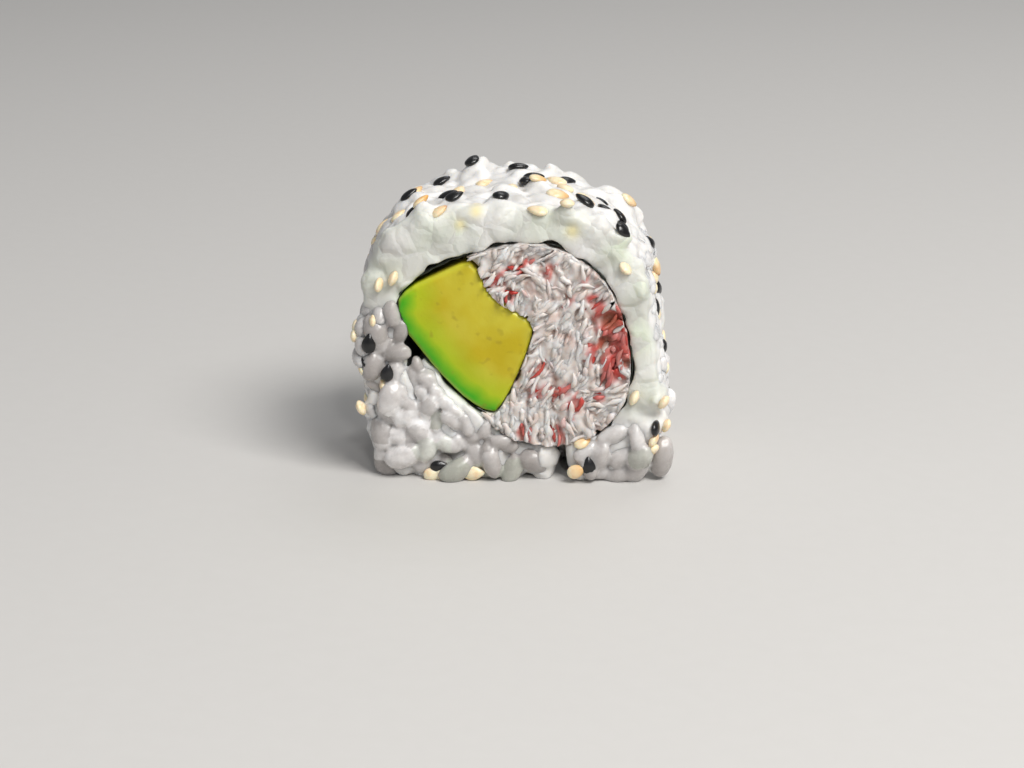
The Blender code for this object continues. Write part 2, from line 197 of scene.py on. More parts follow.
def waves(points, size, count=5):
    # a smooth wandering value, mostly from -1 to 1, over space
    total = np.zeros(len(points))
    for _ in range(count):
        way = unit(draw.normal(size=3)) * 2 * math.pi / (size * draw.uniform(0.7, 1.5))
        total += np.sin(points @ way + draw.uniform(0, 2 * math.pi))
    return total / math.sqrt(count) / 1.4


def nearestOf(points, middles):
    tree = KDTree(len(middles))
    for number, middle in enumerate(middles):
        tree.insert(middle, number)
    tree.balance()
    return np.array([tree.find(p)[1] for p in points])


def sunkBy(mesh, points, rounds):
    # how far each point lies below its surroundings
    setPoints(mesh, points)
    flat = smoothed(points, edgesOf(mesh), rounds)
    return ((flat - points) * normalsOf(mesh)).sum(axis=1)


# Outlines of the cut, in shares of half the width and of the height, as in the solids

noriRoute = (
    (-0.663, 0.517), (-0.605, 0.470), (-0.507, 0.403), (-0.407, 0.337), (-0.300, 0.278),
    (-0.190, 0.238), (-0.085, 0.180), (0.050, 0.143), (0.235, 0.127), (0.425, 0.137),
    (0.585, 0.182), (0.702, 0.251), (0.767, 0.337), (0.780, 0.435), (0.761, 0.525),
    (0.715, 0.622), (0.637, 0.712), (0.507, 0.787), (0.338, 0.843), (0.130, 0.867),
    (-0.085, 0.852), (-0.293, 0.812), (-0.488, 0.762), (-0.655, 0.703), (-0.735, 0.640),
    (-0.745, 0.573), (-0.715, 0.500), (-0.668, 0.405), (-0.625, 0.320), (-0.545, 0.250),
)  # fmt: skip
noriTurn = 25  # how many of them make the closed turn
avocadoOutline = (
    (-0.720, 0.600), (-0.700, 0.652), (-0.610, 0.697), (-0.442, 0.745), (-0.312, 0.779),
    (-0.235, 0.785), (-0.190, 0.750), (-0.135, 0.682), (-0.015, 0.633), (0.105, 0.592),
    (0.150, 0.562), (0.130, 0.506), (0.072, 0.416), (0.000, 0.326), (-0.055, 0.272),
    (-0.095, 0.245), (-0.160, 0.255), (-0.286, 0.300), (-0.390, 0.356), (-0.494, 0.421),
    (-0.592, 0.490), (-0.682, 0.556),
)  # fmt: skip
skinSide = 15  # from here on the avocado's outline is its skin side


def sized(shares):
    return np.array(shares) * (roll["width"] / 2, roll["height"])


def smoothLine(points, count, closed):
    # evenly spaced points along a Catmull-Rom curve
    points = np.asarray(points, float)
    if closed:
        padded = np.vstack([points[-1], points, points[0], points[1]])
    else:
        padded = np.vstack([2 * points[0] - points[1], points, 2 * points[-1] - points[-2]])
    fine = []
    for a, b, c, d in zip(padded[:-3], padded[1:-2], padded[2:-1], padded[3:]):
        for t in np.linspace(0, 1, 16, endpoint=False):
            pull = (2 * a - 5 * b + 4 * c - d) * t**2 + (3 * b - a - 3 * c + d) * t**3
            fine.append(0.5 * (2 * b + (c - a) * t + pull))
    fine = np.array(fine + [padded[-2]])
    along = np.r_[0, np.cumsum(np.linalg.norm(np.diff(fine, axis=0), axis=1))]
    at = np.linspace(0, along[-1], count, endpoint=not closed)
    return np.column_stack([np.interp(at, along, fine[:, k]) for k in range(2)])


def sideways(line, closed):
    # unit normals: out of a loop that is closed, to the left of a line that isn't
    if closed:
        ahead = unit(np.roll(line, -1, axis=0) - np.roll(line, 1, axis=0))
        after = np.roll(line, -1, axis=0)
        way = -np.sign((line[:, 0] * after[:, 1] - after[:, 0] * line[:, 1]).sum())
    else:
        ahead, way = unit(np.gradient(line, axis=0)), 1
    return np.column_stack([-ahead[:, 1], ahead[:, 0]]) * way


def insideLoop(loop, points):
    x, z = points[:, :1], points[:, 1:]
    ax, az = loop[:, 0], loop[:, 1]
    bx, bz = np.roll(ax, -1), np.roll(az, -1)
    crosses = ((az > z) != (bz > z)) & (x < (bx - ax) * (z - az) / (bz - az + 1e-12) + ax)
    return crosses.sum(axis=1) % 2 == 1


def nearestOn(line, points):
    # the distance to the line and the index of its nearest point, in blocks to save memory
    distance, index = np.empty(len(points)), np.empty(len(points), int)
    for start in range(0, len(points), 20000):
        part = slice(start, start + 20000)
        away = np.linalg.norm(points[part, None] - line[None], axis=2)
        index[part] = away.argmin(axis=1)
        distance[part] = away.min(axis=1)
    return distance, index


noriLine = smoothLine(sized(noriRoute), 500, False)
turnLine = smoothLine(sized(noriRoute[:noriTurn]), 300, True)
avocadoLine = smoothLine(sized(avocadoOutline), 240, True)


def nearCut(points, start, over):
    # 1 on the cut faces, 0 deeper in
    return np.clip((np.abs(points[:, 1]) - start) / over, 0, 1)


def withCut(points, cut):
    return np.column_stack([cut[:, 0], points[:, 1], cut[:, 1]])


def pressedTo(points, clear, reach, ease=1.0):
    # stretches what lines the nori's slot to this distance from the sheet, fading out at reach;
    # a higher ease takes more of the rounded rim along
    cut = points[:, (0, 2)]
    distance, index = nearestOn(noriLine, cut)
    away = unit(cut - noriLine[index])
    slot = roll["slot"]
    over = (np.maximum(distance - slot, 0) / (reach - slot)) ** ease
    moved = np.where(distance < reach, clear + over * (reach - clear), distance)
    return withCut(points, noriLine[index] + away * moved[:, None])


def heldNear(points, tree, most):
    # nothing stands further out of a surface than this
    held = points.copy()
    for number, point in enumerate(points):
        spot, normal, _, distance = tree.find_nearest(Vector(point))
        if distance > most and (Vector(point) - spot).dot(normal) > 0:
            held[number] = np.array(spot) + (point - np.array(spot)) * most / distance
    return held


# Camera, light and floor

stage = {
    "lens": 85.0, "azimuth": 5.0, "elevation": 18.0,  # the photograph's view
    "aim": (0.4, -13.0, 15.2), "distance": 360.0,
    "floor": "#c9c7c4", "world": "#f2f4f8", "worldStrength": 0.24,
    # azimuth from the camera's side, elevation, metres away, size, watts, colour
    "keyLight": (46, 50, 0.90, (0.46, 0.38), 8.4, "#fffdfa"),
    "fillLight": (-60, 25, 0.90, (0.50, 0.50), 0.20, "#f3f6ff"),
    "backLight": (160, 55, 0.90, (0.50, 0.35), 1.3, "#ffffff"),
    "glintLight": (12, 32, 0.90, (0.06, 0.06), 0.9, "#ffffff"),  # the small lights on wet skins
}  # fmt: skip


def directionFrom(azimuth, elevation):
    a, e = math.radians(azimuth), math.radians(elevation)
    return Vector((math.sin(a) * math.cos(e), -math.cos(a) * math.cos(e), math.sin(e)))


def setCamera():
    data = bpy.data.cameras.new("camera")
    data.lens = stage["lens"]
    data.clip_start, data.clip_end = 0.01, 10
    camera = bpy.data.objects.new("camera", data)
    back = directionFrom(stage["azimuth"], stage["elevation"])
    camera.location = (Vector(stage["aim"]) + back * stage["distance"]) * mm
    camera.rotation_euler = (-back).to_track_quat("-Z", "Y").to_euler()
    bpy.context.scene.collection.objects.link(camera)
    bpy.context.scene.camera = camera


def addSoftbox(name):
    azimuth, elevation, distance, size, power, colour = stage[name]
    data = bpy.data.lights.new(name, "AREA")
    data.shape = "RECTANGLE"
    data.size, data.size_y = size
    data.energy = power
    data.color = hexColour(colour)[:3]
    light = bpy.data.objects.new(name, data)
    back = directionFrom(azimuth, elevation)
    light.location = Vector((0, 0, 0.02)) + back * distance
    light.rotation_euler = (-back).to_track_quat("-Z", "Y").to_euler()
    bpy.context.scene.collection.objects.link(light)


def floorMaterial():
    # matt paper sweep: no shine, with a trace of its pulp 3 mm across
    paper = newMaterial("matt_paper_sweep")
    place = addNode(paper, "TexCoord", {}, "Object")
    pulp = addNode(paper, "TexNoise", {"Vector": place, "Scale": 1 / (3 * mm)})
    share = addNode(paper, "MapRange", {"Value": pulp, "To Max": 0.04})
    colour = addNode(paper, "Mix", {
        "Factor": share, "A": stage["floor"], "B": "#ffffff"}, data_type="RGBA")
    shader = addNode(paper, "BsdfPrincipled", {"Base Color": colour, "Roughness": 0.75})
    addNode(paper, "OutputMaterial", {"Surface": shader})
    return paper


def setStage():
    bpy.context.scene.view_settings.view_transform = "Standard"
    world = bpy.data.worlds.new("studio")
    world.use_nodes = True
    background = world.node_tree.nodes["Background"]
    background.inputs["Color"].default_value = hexColour(stage["world"])
    background.inputs["Strength"].default_value = stage["worldStrength"]
    bpy.context.scene.world = world
    for name in ("keyLight", "fillLight", "backLight", "glintLight"):
        addSoftbox(name)
    bpy.ops.mesh.primitive_plane_add(size=4)
    floor = bpy.context.object
    floor.name = "floor"
    floor.data.materials.append(floorMaterial())


setCamera()
setStage()
print("camera, light and floor set")


# Rice: a pressed core with every grain of its surface fused on, then smeared where the knife went

rice = {
    "voxel": 0.36, "coreRounds": 30, "sunk": 0.55,  # the core lies this far under the grains' tops
    "grain": (5.5, 2.8, 2.3), "spacing": 2.1,
    "smearRounds": 16, "allRounds": 2, "standsOut": 0.7,  # at most, out of the solid
    "lapped": -0.22, "lapWaves": 0.22,  # the lip lies this far over the nori, but not in a notch
    "notches": (  # x, z, reach, and how far the lip stays off the nori there
        (-11.6, 32.6, 1.3, 1.00), (-9.5, 33.2, 2.6, 0.45), (-6.8, 34.8, 0.7, 0.85),
        (-2.2, 36.2, 1.3, 0.70), (0.4, 36.7, 0.8, 1.15), (6.0, 36.2, 1.8, 0.95),
        (11.7, 33.2, 1.0, 0.85), (14.1, 29.9, 0.9, 0.80), (17.2, 23.0, 1.4, 0.50),
        (17.9, 17.5, 2.2, 0.35), (17.2, 12.5, 1.2, 0.50), (14.0, 8.2, 2.2, 0.40),
        (2.5, 6.2, 2.4, 0.20), (-16.4, 27.0, 1.0, 0.30), (-14.6, 20.2, 1.7, 0.50),
    ),
    "raised": (  # x, y, reach, mm up, and the height above which all of that counts
        (-7.6, 9.0, 3.9, 1.7, 40), (15.0, 8.5, 3.0, 1.6, 38), (-17.0, 3.0, 4.2, 1.5, 34),
    ),
    "paintedShadeSpots": (  # x, z, reach and how much painted shade, on top of the painted shade towards the base
        (0.5, 2.5, 6.5, 0.60), (16.0, 4.0, 6.0, 0.25),
        (-20.5, 22.0, 8.0, 0.55), (-18.0, 33.0, 5.5, 0.50),
    ),
    "stains": ((-7.3, 39.2, 0.8), (9.2, 38.6, 1.0), (-5.0, 41.2, 0.9)),
    # the crease colour is painted shade in the creases between grains
    "dry": "#f2f1ef", "wet": "#cbc9c6", "green": "#c8d3ba", "paintedCreaseShade": "#b3aea9",
    "stain": "#ead98c",  # sesame oil, taken up by the starch round a seed
    "mottle": 0.22, "soft": 0.6, "radius": (1.4, 1.25, 1.05), "gloss": (0.36, 0.54), "coat": 0.10,
    "cells": 0.85,  # how far the grains show through where the knife smeared them
    "faint": 0.3,  # and, of that, everywhere else
}  # fmt: skip


def riceMaterial(name, look):
    # cooked short-grain rice: milky and moist, so light sinks in and its skin shines
    material = newMaterial(name)
    place = addNode(material, "TexCoord", {}, "Object")
    tone = addNode(material, "Attribute", {}, "Fac", attribute_name="tone")
    green = addNode(material, "Attribute", {}, "Fac", attribute_name="green")
    paintedCreaseShade = addNode(material, "Attribute", {}, "Fac", attribute_name="paintedCreaseShade")
    patches = addNode(material, "TexNoise", {
        "Vector": place, "Scale": 1 / (1.2 * mm), "Detail": 3.0})  # starch, 1.2 mm across
    wet = addNode(material, "MapRange", {
        "Value": patches, "From Min": 0.35, "From Max": 0.7, "To Max": look["mottle"]})
    # each grain's tone, painted shade included, mixes it towards the wet colour
    colour = addNode(material, "Mix", {
        "Factor": tone, "A": look["dry"], "B": look["wet"]}, data_type="RGBA")
    colour = addNode(material, "Mix", {
        "Factor": green, "A": colour, "B": look["green"]}, data_type="RGBA")
    colour = addNode(material, "Mix", {
        "Factor": wet, "A": colour, "B": look["wet"]}, data_type="RGBA")
    # pressed grains show through the smeared starch as faint cells, 3.2 mm across
    bent = addNode(material, "TexNoise", {"Vector": place, "Scale": 1 / (2 * mm)}, "Color")
    bent = addNode(material, "VectorMath", {
        0: bent, 1: (1.6 * mm,) * 3, 2: place}, operation="MULTIPLY_ADD")
    cells = addNode(material, "TexVoronoi", {"Vector": bent, "Scale": 1 / (3.2 * mm)}, "Color")
    smear = addNode(material, "Attribute", {}, "Fac", attribute_name="smear")
    share = addNode(material, "Math", {0: cells, 1: smear}, operation="MULTIPLY")
    share = addNode(material, "Math", {0: share, 1: look["cells"]}, operation="MULTIPLY")
    colour = addNode(material, "Mix", {
        "Factor": share, "A": colour, "B": look["wet"]}, data_type="RGBA")
    stain = addNode(material, "Attribute", {}, "Fac", attribute_name="stain")
    colour = addNode(material, "Mix", {
        "Factor": stain, "A": colour, "B": rice["stain"]}, data_type="RGBA")
    # painted shade: darker in the creases between grains
    colour = addNode(material, "Mix", {
        "Factor": paintedCreaseShade, "A": colour, "B": look["paintedCreaseShade"]}, data_type="RGBA")
    film = addNode(material, "TexNoise", {"Vector": place, "Scale": 1 / (0.7 * mm)})
    gloss = addNode(material, "MapRange", {
        "Value": film, "From Min": 0.3, "From Max": 0.7,
        "To Min": look["gloss"][0], "To Max": look["gloss"][1]})
    pits = addNode(material, "TexNoise", {
        "Vector": place, "Scale": 1 / (0.45 * mm), "Detail": 3.0})
    bump = addNode(material, "Bump", {
        "Height": pits, "Distance": 0.05 * mm, "Strength": 0.5})
    edges = addNode(material, "TexVoronoi", {
        "Vector": bent, "Scale": 1 / (3.2 * mm)}, feature="DISTANCE_TO_EDGE")
    edges = addNode(material, "MapRange", {"Value": edges, "From Max": 0.22})
    edges = addNode(material, "Math", {0: edges, 1: smear}, operation="MULTIPLY")
    bump = addNode(material, "Bump", {
        "Height": edges, "Distance": 0.22 * mm, "Strength": 0.6, "Normal": bump})
    shader = addNode(material, "BsdfPrincipled", {
        "Base Color": colour, "Roughness": gloss, "Normal": bump, "IOR": 1.40,
        "Subsurface Weight": look["soft"], "Subsurface Radius": look["radius"],
        "Subsurface Scale": mm, "Coat Weight": look["coat"], "Coat Roughness": 0.18})
    addNode(material, "OutputMaterial", {"Surface": shader})
    return material


def grainShapes(count, level=3):
    # blunt ovals, a little bent, with a shallow dent where the germ was
    points, faces = ball(level)
    made = []
    for _ in range(count):
        ring = np.linalg.norm(points[:, :2], axis=1, keepdims=True)
        shape = points.copy()
        shape[:, :2] *= np.maximum(ring, 1e-9) ** -0.25
        shape[:, :2] *= 1 + 0.06 * draw.normal() * shape[:, 2:] + 0.03 * draw.normal()
        shape[:, 1] += draw.uniform(-0.22, 0.22) * (1 - shape[:, 2] ** 2)
        shape[:, 0] += draw.uniform(-0.18, 0.18) * (1 - shape[:, 2] ** 2)
        germ = unit(np.array([draw.normal() * 0.4, 0.5, 0.8]))
        dent = np.exp(-((points - germ) ** 2).sum(axis=1) / 0.10)
        shape *= 1 - 0.13 * dent[:, None]
        shape *= 1 + 0.035 * waves(shape, 1.6)[:, None]
        made.append(shape)
    return made, faces


def spreadOver(points, spacing, allowed):
    # points of a surface picked at random, none nearer to another than the spacing
    taken, cells = [], {}
    for index in draw.permutation(len(points)):
        if not allowed[index]:
            continue
        i, j, k = (points[index] // spacing).astype(int)
        near = [other for a in (-1, 0, 1) for b in (-1, 0, 1) for c in (-1, 0, 1)
                for other in cells.get((i + a, j + b, k + c), ())]
        if any(((points[index] - points[o]) ** 2).sum() < spacing**2 for o in near):
            continue
        cells.setdefault((i, j, k), []).append(index)
        taken.append(index)
    return taken


def lyingOn(normal, tilt):
    # a random way along a surface, tipped a little out of it
    side = unit(np.cross(normal, draw.normal(size=3)))
    return unit(side + normal * draw.uniform(-tilt, tilt))


def keptOutside(points):
    # nothing crosses into the filling
    cut = points[:, (0, 2)]
    _, index = nearestOn(turnLine, cut)
    pushed = turnLine[index] + sideways(turnLine, True)[index] * roll["slot"]
    return withCut(points, np.where(insideLoop(turnLine, cut)[:, None], pushed, cut))


def lipOff(points):
    # how far the rice's lip stays off the nori's middle line, under nothing where it laps over it
    lip = rice["lapped"] + rice["lapWaves"] * waves(points, 3.4)
    for x, z, reach, off in rice["notches"]:
        away = np.hypot(points[:, 0] - x, points[:, 2] - z) / reach
        lip += np.maximum(off - lip, 0) * np.exp(-away**4)
    return lip


def paintedShadeLowDown(points):
    # painted shade: greyer towards the base, which is pressed flat, and in some patches higher up
    wet = 0.4 * np.clip(1 - points[:, 2] / 7.5, 0, 1)
    for x, z, reach, share in rice["paintedShadeSpots"]:
        away = np.hypot(points[:, 0] - x, points[:, 2] - z) / reach
        wet += share * np.exp(-away**2)
    return wet


def makeRice():
    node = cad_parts["rice_with_sesame"]
    core = fused(pointsOf(node.data), facesOf(node.data), rice["voxel"])
    raw = pointsOf(core)
    for x, y, reach, up, above in rice["raised"]:
        away = np.hypot(raw[:, 0] - x, raw[:, 1] - y) / reach
        raw[:, 2] += up * np.exp(-away**2) * np.clip((raw[:, 2] - above) / 3 + 1, 0, 1)
    solid = BVHTree.FromPolygons(raw.tolist(), facesOf(core))
    points = smoothed(raw, edgesOf(core), rice["coreRounds"])
    setPoints(core, points)
    normals = unit(smoothed(normalsOf(core), edgesOf(core), 6))
    cut = points[:, (0, 2)]
    noriAway, noriAt = nearestOn(noriLine, cut)
    onCut = np.abs(normals[:, 1]) > 0.8
    wall = (noriAway < 1.5) & ~onCut
    chosen = spreadOver(points, rice["spacing"], ~wall & (noriAway > 1.1) & (normals[:, 2] > -0.9))
    places, tones = [], []
    length, width, thick = rice["grain"]
    for index in chosen:
        size = draw.uniform(0.82, 1.1)
        out = normals[index]
        middle = points[index] - out * thick * draw.uniform(0.30, 0.48)
        along = lyingOn(out, 0.14)
        if noriAway[index] < length * 0.5 and onCut[index]:
            away = cut[index] - noriLine[noriAt[index]]  # grains by the nori lie along it
            along = unit(np.array([-away[1], along[1], away[0]]) + draw.normal(size=3) * 0.3)
        places.append((middle, along, out, (length * size, width * size, thick * size)))
        tones.append(draw.beta(1.3, 2.6))
    shapes, faces = grainShapes(12)
    grainPoints, grainFaces = placedCopies(shapes, faces, places)
    sunk = points - normals * rice["sunk"] * np.where(wall, 0.0, 1.0)[:, None]
    allFaces = facesOf(core) + (grainFaces + len(sunk)).tolist()
    mesh = fused(np.vstack([sunk, grainPoints]), allFaces, rice["voxel"])
    edges = edgesOf(mesh)
    points = heldNear(pointsOf(mesh), solid, rice["standsOut"])
    points = smoothed(points, edges, rice["allRounds"])
    # the knife smeared the cut's upper part, further down on the right than on the left, and left
    # the lip by the nori as it was
    start = 0.37 - 0.17 * np.clip(points[:, 0] / 12, -1, 1)
    smear = nearCut(points, 9.6, 2.2) * np.clip((points[:, 2] / roll["height"] - start) / 0.15, 0, 1)
    noriAway, _ = nearestOn(noriLine, points[:, (0, 2)])
    offLip = np.clip((noriAway - 0.8) / 1.4, 0, 1)
    points = keptOutside(smoothed(points, edges, rice["smearRounds"], smear * offLip))
    atCut = nearCut(points, 10.0, 1.6)
    clear = roll["slot"] + (lipOff(points) - roll["slot"]) * atCut
    points = pressedTo(points, clear, 3.0, 1 + atCut)
    points[:, 2] = np.maximum(points[:, 2], 0.0)
    # painted shade in the creases, by how far each point lies below its surroundings, less where the
    # knife smeared
    paintedCreaseShade = np.clip(sunkBy(mesh, points, 14) / 0.35 - 0.12, 0, 1) * (1 - 0.5 * smear)
    tone = np.array(tones)[nearestOf(points, [p[0] for p in places])][:, None]
    # painted shade is added to each grain's tone towards the base and in some patches
    tone = smoothed(tone, edges, 4)[:, 0] * (1 - 0.45 * smear) + paintedShadeLowDown(points)
    green = np.clip(smear * (0.45 + 0.4 * waves(points, 9)), 0, 1)
    bySlot = np.clip(1 - (noriAway - 0.5) / 1.6, 0, 1) * np.clip(waves(points, 5), 0, 1)
    stain = np.zeros(len(points))
    for x, z, reach in rice["stains"]:
        away = np.hypot(points[:, 0] - x, points[:, 2] - z) / reach
        stain = np.maximum(stain, 0.6 * np.exp(-away**2) * (points[:, 1] < -9))
    piece = newPiece("rice", mesh, riceMaterial("cooked_sushi_rice", rice))
    setAttribute(mesh, "tone", np.clip(tone, 0, 1))
    setAttribute(mesh, "stain", stain)
    setAttribute(mesh, "smear", np.maximum(smear, rice["faint"]))
    setAttribute(mesh, "paintedCreaseShade", paintedCreaseShade)
    setAttribute(mesh, "green", np.maximum(green, bySlot * 0.7))
    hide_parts("rice_with_sesame")
    print("rice:", len(places), "grains,", len(mesh.polygons), "faces")
    return piece


ricePiece = makeRice()
riceTree = BVHTree.FromPolygons(pointsOf(ricePiece.data).tolist(), facesOf(ricePiece.data))


def castAt(origin, towards):
    # where a straight line from outside first meets the rice
    spot, out, _, _ = riceTree.ray_cast(Vector(origin), Vector(towards))
    return None if spot is None else (np.array(spot), np.array(out))


def castRound(angle, y):
    # the same, towards the roll's middle line at this height angle
    way = turned(angle, np.array([1.0, 0, 0]), np.array([0, 0, 1.0]))
    found = castAt(np.array([0, y, roll["middle"]]) + way * 60, -way)
    return None if found is None else (found[0], unit(way + 0.5 * found[1]), way)


# Whole grains: glassy ones that the pressing left loose, most at the lower left of the cut, and
# others bedded in the sides

looseGrains = {
    "grain": (5.9, 3.8, 3.1), "apart": 3.05,
    "crack": (7.9, 3.1, 6),  # x of the gap in the base, the room kept on each side, and its top
    "deepest": -9.5,  # none lies on rice that is further back than this
    "placed": (  # x, z, turn in the cut, size
        (-17.4, 25.4, 100, 0.72), (-16.4, 22.6, 75, 0.66), (-17.0, 19.4, 8, 0.80),
        (-20.2, 22.6, 95, 0.90), (-14.4, 15.6, 100, 0.68), (-12.3, 15.2, 140, 0.60),
        (-12.0, 11.4, 60, 0.75), (-9.6, 12.4, 150, 0.55), (-8.9, 9.4, 130, 0.62),
        (-6.5, 8.9, 110, 0.66), (-3.7, 8.0, 80, 0.62), (-1.3, 6.2, 10, 0.55),
        (-17.8, 12.6, 70, 0.95), (-20.8, 17.6, 85, 0.85), (-19.3, 7.0, 100, 1.00),
        (-16.0, 3.6, 20, 1.05), (-13.6, 7.6, 130, 0.90), (-9.4, 5.8, 160, 0.90),
        (-5.4, 4.2, 110, 0.85), (15.4, 7.4, 25, 0.85), (13.8, 4.0, 75, 0.85),
        (10.6, 5.4, 20, 0.50), (19.0, 7.0, 100, 0.80),
    ),
    "forward": -11.8,  # a placed one lies at least this near to the cut
    "outside": (22.8, -10.6, 3.6, 82, 1.10),  # x, y, z, turn and size of one that leans on the side
    # low x, high x, low z, high z, how many, how far they stand out, the smallest and largest size,
    # and how far they stay off the nori
    "patches": (
        (-19.4, -8.0, 1.2, 12.5, 40, 0.60, 0.80, 1.05, 1.8),
        (-8.0, 6.0, 1.2, 5.5, 22, 0.25, 0.75, 1.0, 1.5),
        (10.5, 20.0, 1.2, 9.0, 20, 0.35, 0.75, 1.0, 1.5),
        (-19.6, -16.5, 12.0, 25.0, 14, 0.0, 0.75, 0.9, 1.3),
        (-17.0, 0.0, 5.0, 18.5, 45, 0.15, 0.50, 0.64, 0.9),
    ),
    "edging": (20, 104, 7, 1.3),  # a row by the avocado: first, last and step along the nori, mm off
    "voxel": 0.26, "rounds": 1, "rough": 0.05,  # the loose ones stick together
    "onSides": 200, "bedded": (1.20, 1.42), "beddedApart": 2.2,
    "bandTop": 8.5, "shownTop": (35, 145),  # the smeared band and the top have none
    # the crease colour is painted shade in the hollows between grains
    "dry": "#f2f0ef", "wet": "#a8a3a0", "green": "#afbca6", "paintedCreaseShade": "#6f6a67", "mottle": 0.40,
    "soft": 0.9, "radius": (1.9, 1.75, 1.65), "gloss": (0.16, 0.36), "coat": 0.3, "cells": 0.0,
}  # fmt: skip


def makeLooseGrains():
    places = []
    across, _, up = np.eye(3)

    def addGrain(middle, along, out, size, apart=looseGrains["apart"]):
        if any(((middle - p[0]) ** 2).sum() < (apart * size)**2 for p in places):
            return 0
        slim = np.array([1, draw.uniform(0.78, 1.08), 1])
        places.append((middle, along, out, looseGrains["grain"] * slim * size))
        return 1

    def addOnCut(x, z, turn, size, stand, clear):
        found = castAt((x, -40, z), (0, 1, 0))
        surface = 0.0 if found is None else found[0][1]
        if clear == 0:
            surface = min(surface, looseGrains["forward"])
        crackAt, room, crackTop = looseGrains["crack"]
        if surface > looseGrains["deepest"] or (abs(x - crackAt) < room and z < crackTop):
            return 0
        (away,), (at,) = nearestOn(noriLine, np.array([[x, z]]))
        if away < clear:
            return 0
        if 0 < clear and away < 2.2:  # small ones by the nori lie along it
            ahead = noriLine[min(at + 1, len(noriLine) - 1)] - noriLine[at - 1]
            turn = math.degrees(math.atan2(ahead[1], ahead[0])) + draw.normal() * 22
        out = unit(np.array([0, -1.0, 0]) + draw.normal(size=3) * 0.18)
        along = unit(turned(turn, across, up) + out * draw.uniform(-0.3, 0.3))
        return addGrain(np.array([x, surface + 0.5 - stand, max(z, 1.0)]), along, out, size)

    for x, z, turn, size in looseGrains["placed"]:
        addOnCut(x, z, turn, size, 0.5, 0.0)
    x, y, z, turn, size = looseGrains["outside"]
    addGrain(np.array([x, y, z]), turned(turn, across, up), np.array([0.5, -0.8, 0]), size)
    first, last, step, off = looseGrains["edging"]
    for at in range(first, last, step):
        x, z = noriLine[at] - sideways(noriLine, False)[at] * off
        ahead = noriLine[at + 1] - noriLine[at]
        turn = math.degrees(math.atan2(ahead[1], ahead[0])) + draw.normal() * 30
        addOnCut(x, z, turn, draw.uniform(0.50, 0.62), 0.5, 0.0)
    for lowX, highX, lowZ, highZ, count, stand, small, large, clear in looseGrains["patches"]:
        made = 0
        for _ in range(count * 30):
            if made < count:
                x, z = draw.uniform(lowX, highX), draw.uniform(lowZ, highZ)
                made += addOnCut(x, z, draw.uniform(0, 180), draw.uniform(small, large),
                                 stand * draw.uniform(0.2, 1.6), clear)
    loose = len(places)
    low, high = looseGrains["shownTop"]
    for _ in range(looseGrains["onSides"] * 8):
        y, angle = draw.uniform(-12.2, 11.2), draw.uniform(*roll["round"])
        found = castRound(angle, y)
        full = len(places) == loose + looseGrains["onSides"]
        if found is None or full or found[0][2] < 1.5 or low < angle < high:
            continue
        spot, out, _ = found
        if abs(y) > looseGrains["bandTop"] and spot[2] > 16 - spot[0] / 2:
            continue
        size = draw.uniform(0.76, 0.96)
        middle = spot - out * size * draw.uniform(*looseGrains["bedded"])
        addGrain(middle, lyingOn(out, 0.12), out, size, looseGrains["beddedApart"])
    points, faces = placedCopies(*grainShapes(10, 4), places[:loose])
    stuck = fused(points, faces.tolist(), looseGrains["voxel"])
    points = smoothed(pointsOf(stuck), edgesOf(stuck), looseGrains["rounds"])
    # painted shade in the deepest hollows between the loose grains
    paintedCreaseShade = np.clip(sunkBy(stuck, points, 20) / 0.34 - 0.34, 0, 1)
    points += normalsOf(stuck) * (looseGrains["rough"] * waves(points, 1.7, 9))[:, None]
    owner = nearestOf(points, [p[0] for p in places[:loose]])
    beddedPoints, beddedFaces = placedCopies(*grainShapes(10, 3), places[loose:])
    bedded = len(places) - loose
    owner = np.concatenate([owner, np.repeat(np.arange(bedded), len(beddedPoints) // bedded) + loose])
    faces = facesOf(stuck) + (beddedFaces + len(points)).tolist()
    points = np.vstack([points, beddedPoints])
    points[:, 2] = np.maximum(points[:, 2], 0.0)
    mesh = meshFrom(points, faces)
    piece = newPiece("whole_grains", mesh, riceMaterial("glassy_rice_grains", looseGrains))
    tones, greens = 0.8 * draw.beta(0.9, 1.2, len(places)), draw.random(len(places))
    tones[loose:] *= 0.3
    greens[loose:] = 1
    # painted shade is added to each grain's tone towards the base and in some patches
    setAttribute(mesh, "tone", np.clip(tones[owner] + paintedShadeLowDown(points), 0, 1))
    setAttribute(mesh, "green", np.where(greens < 0.12, 0.32, 0.0)[owner])
    setAttribute(mesh, "paintedCreaseShade", np.concatenate([paintedCreaseShade, np.zeros(len(beddedPoints))]))
    for name in ("smear", "stain"):
        setAttribute(mesh, name, np.zeros(len(points)))
    print("whole grains:", loose, "loose and", bedded, "bedded,", len(faces), "faces")


# Sesame: black and toasted. A listed one is its angle round the roll's middle line, from the
# right, its distance behind the front cut, and its turn. More are drawn on the hidden sides

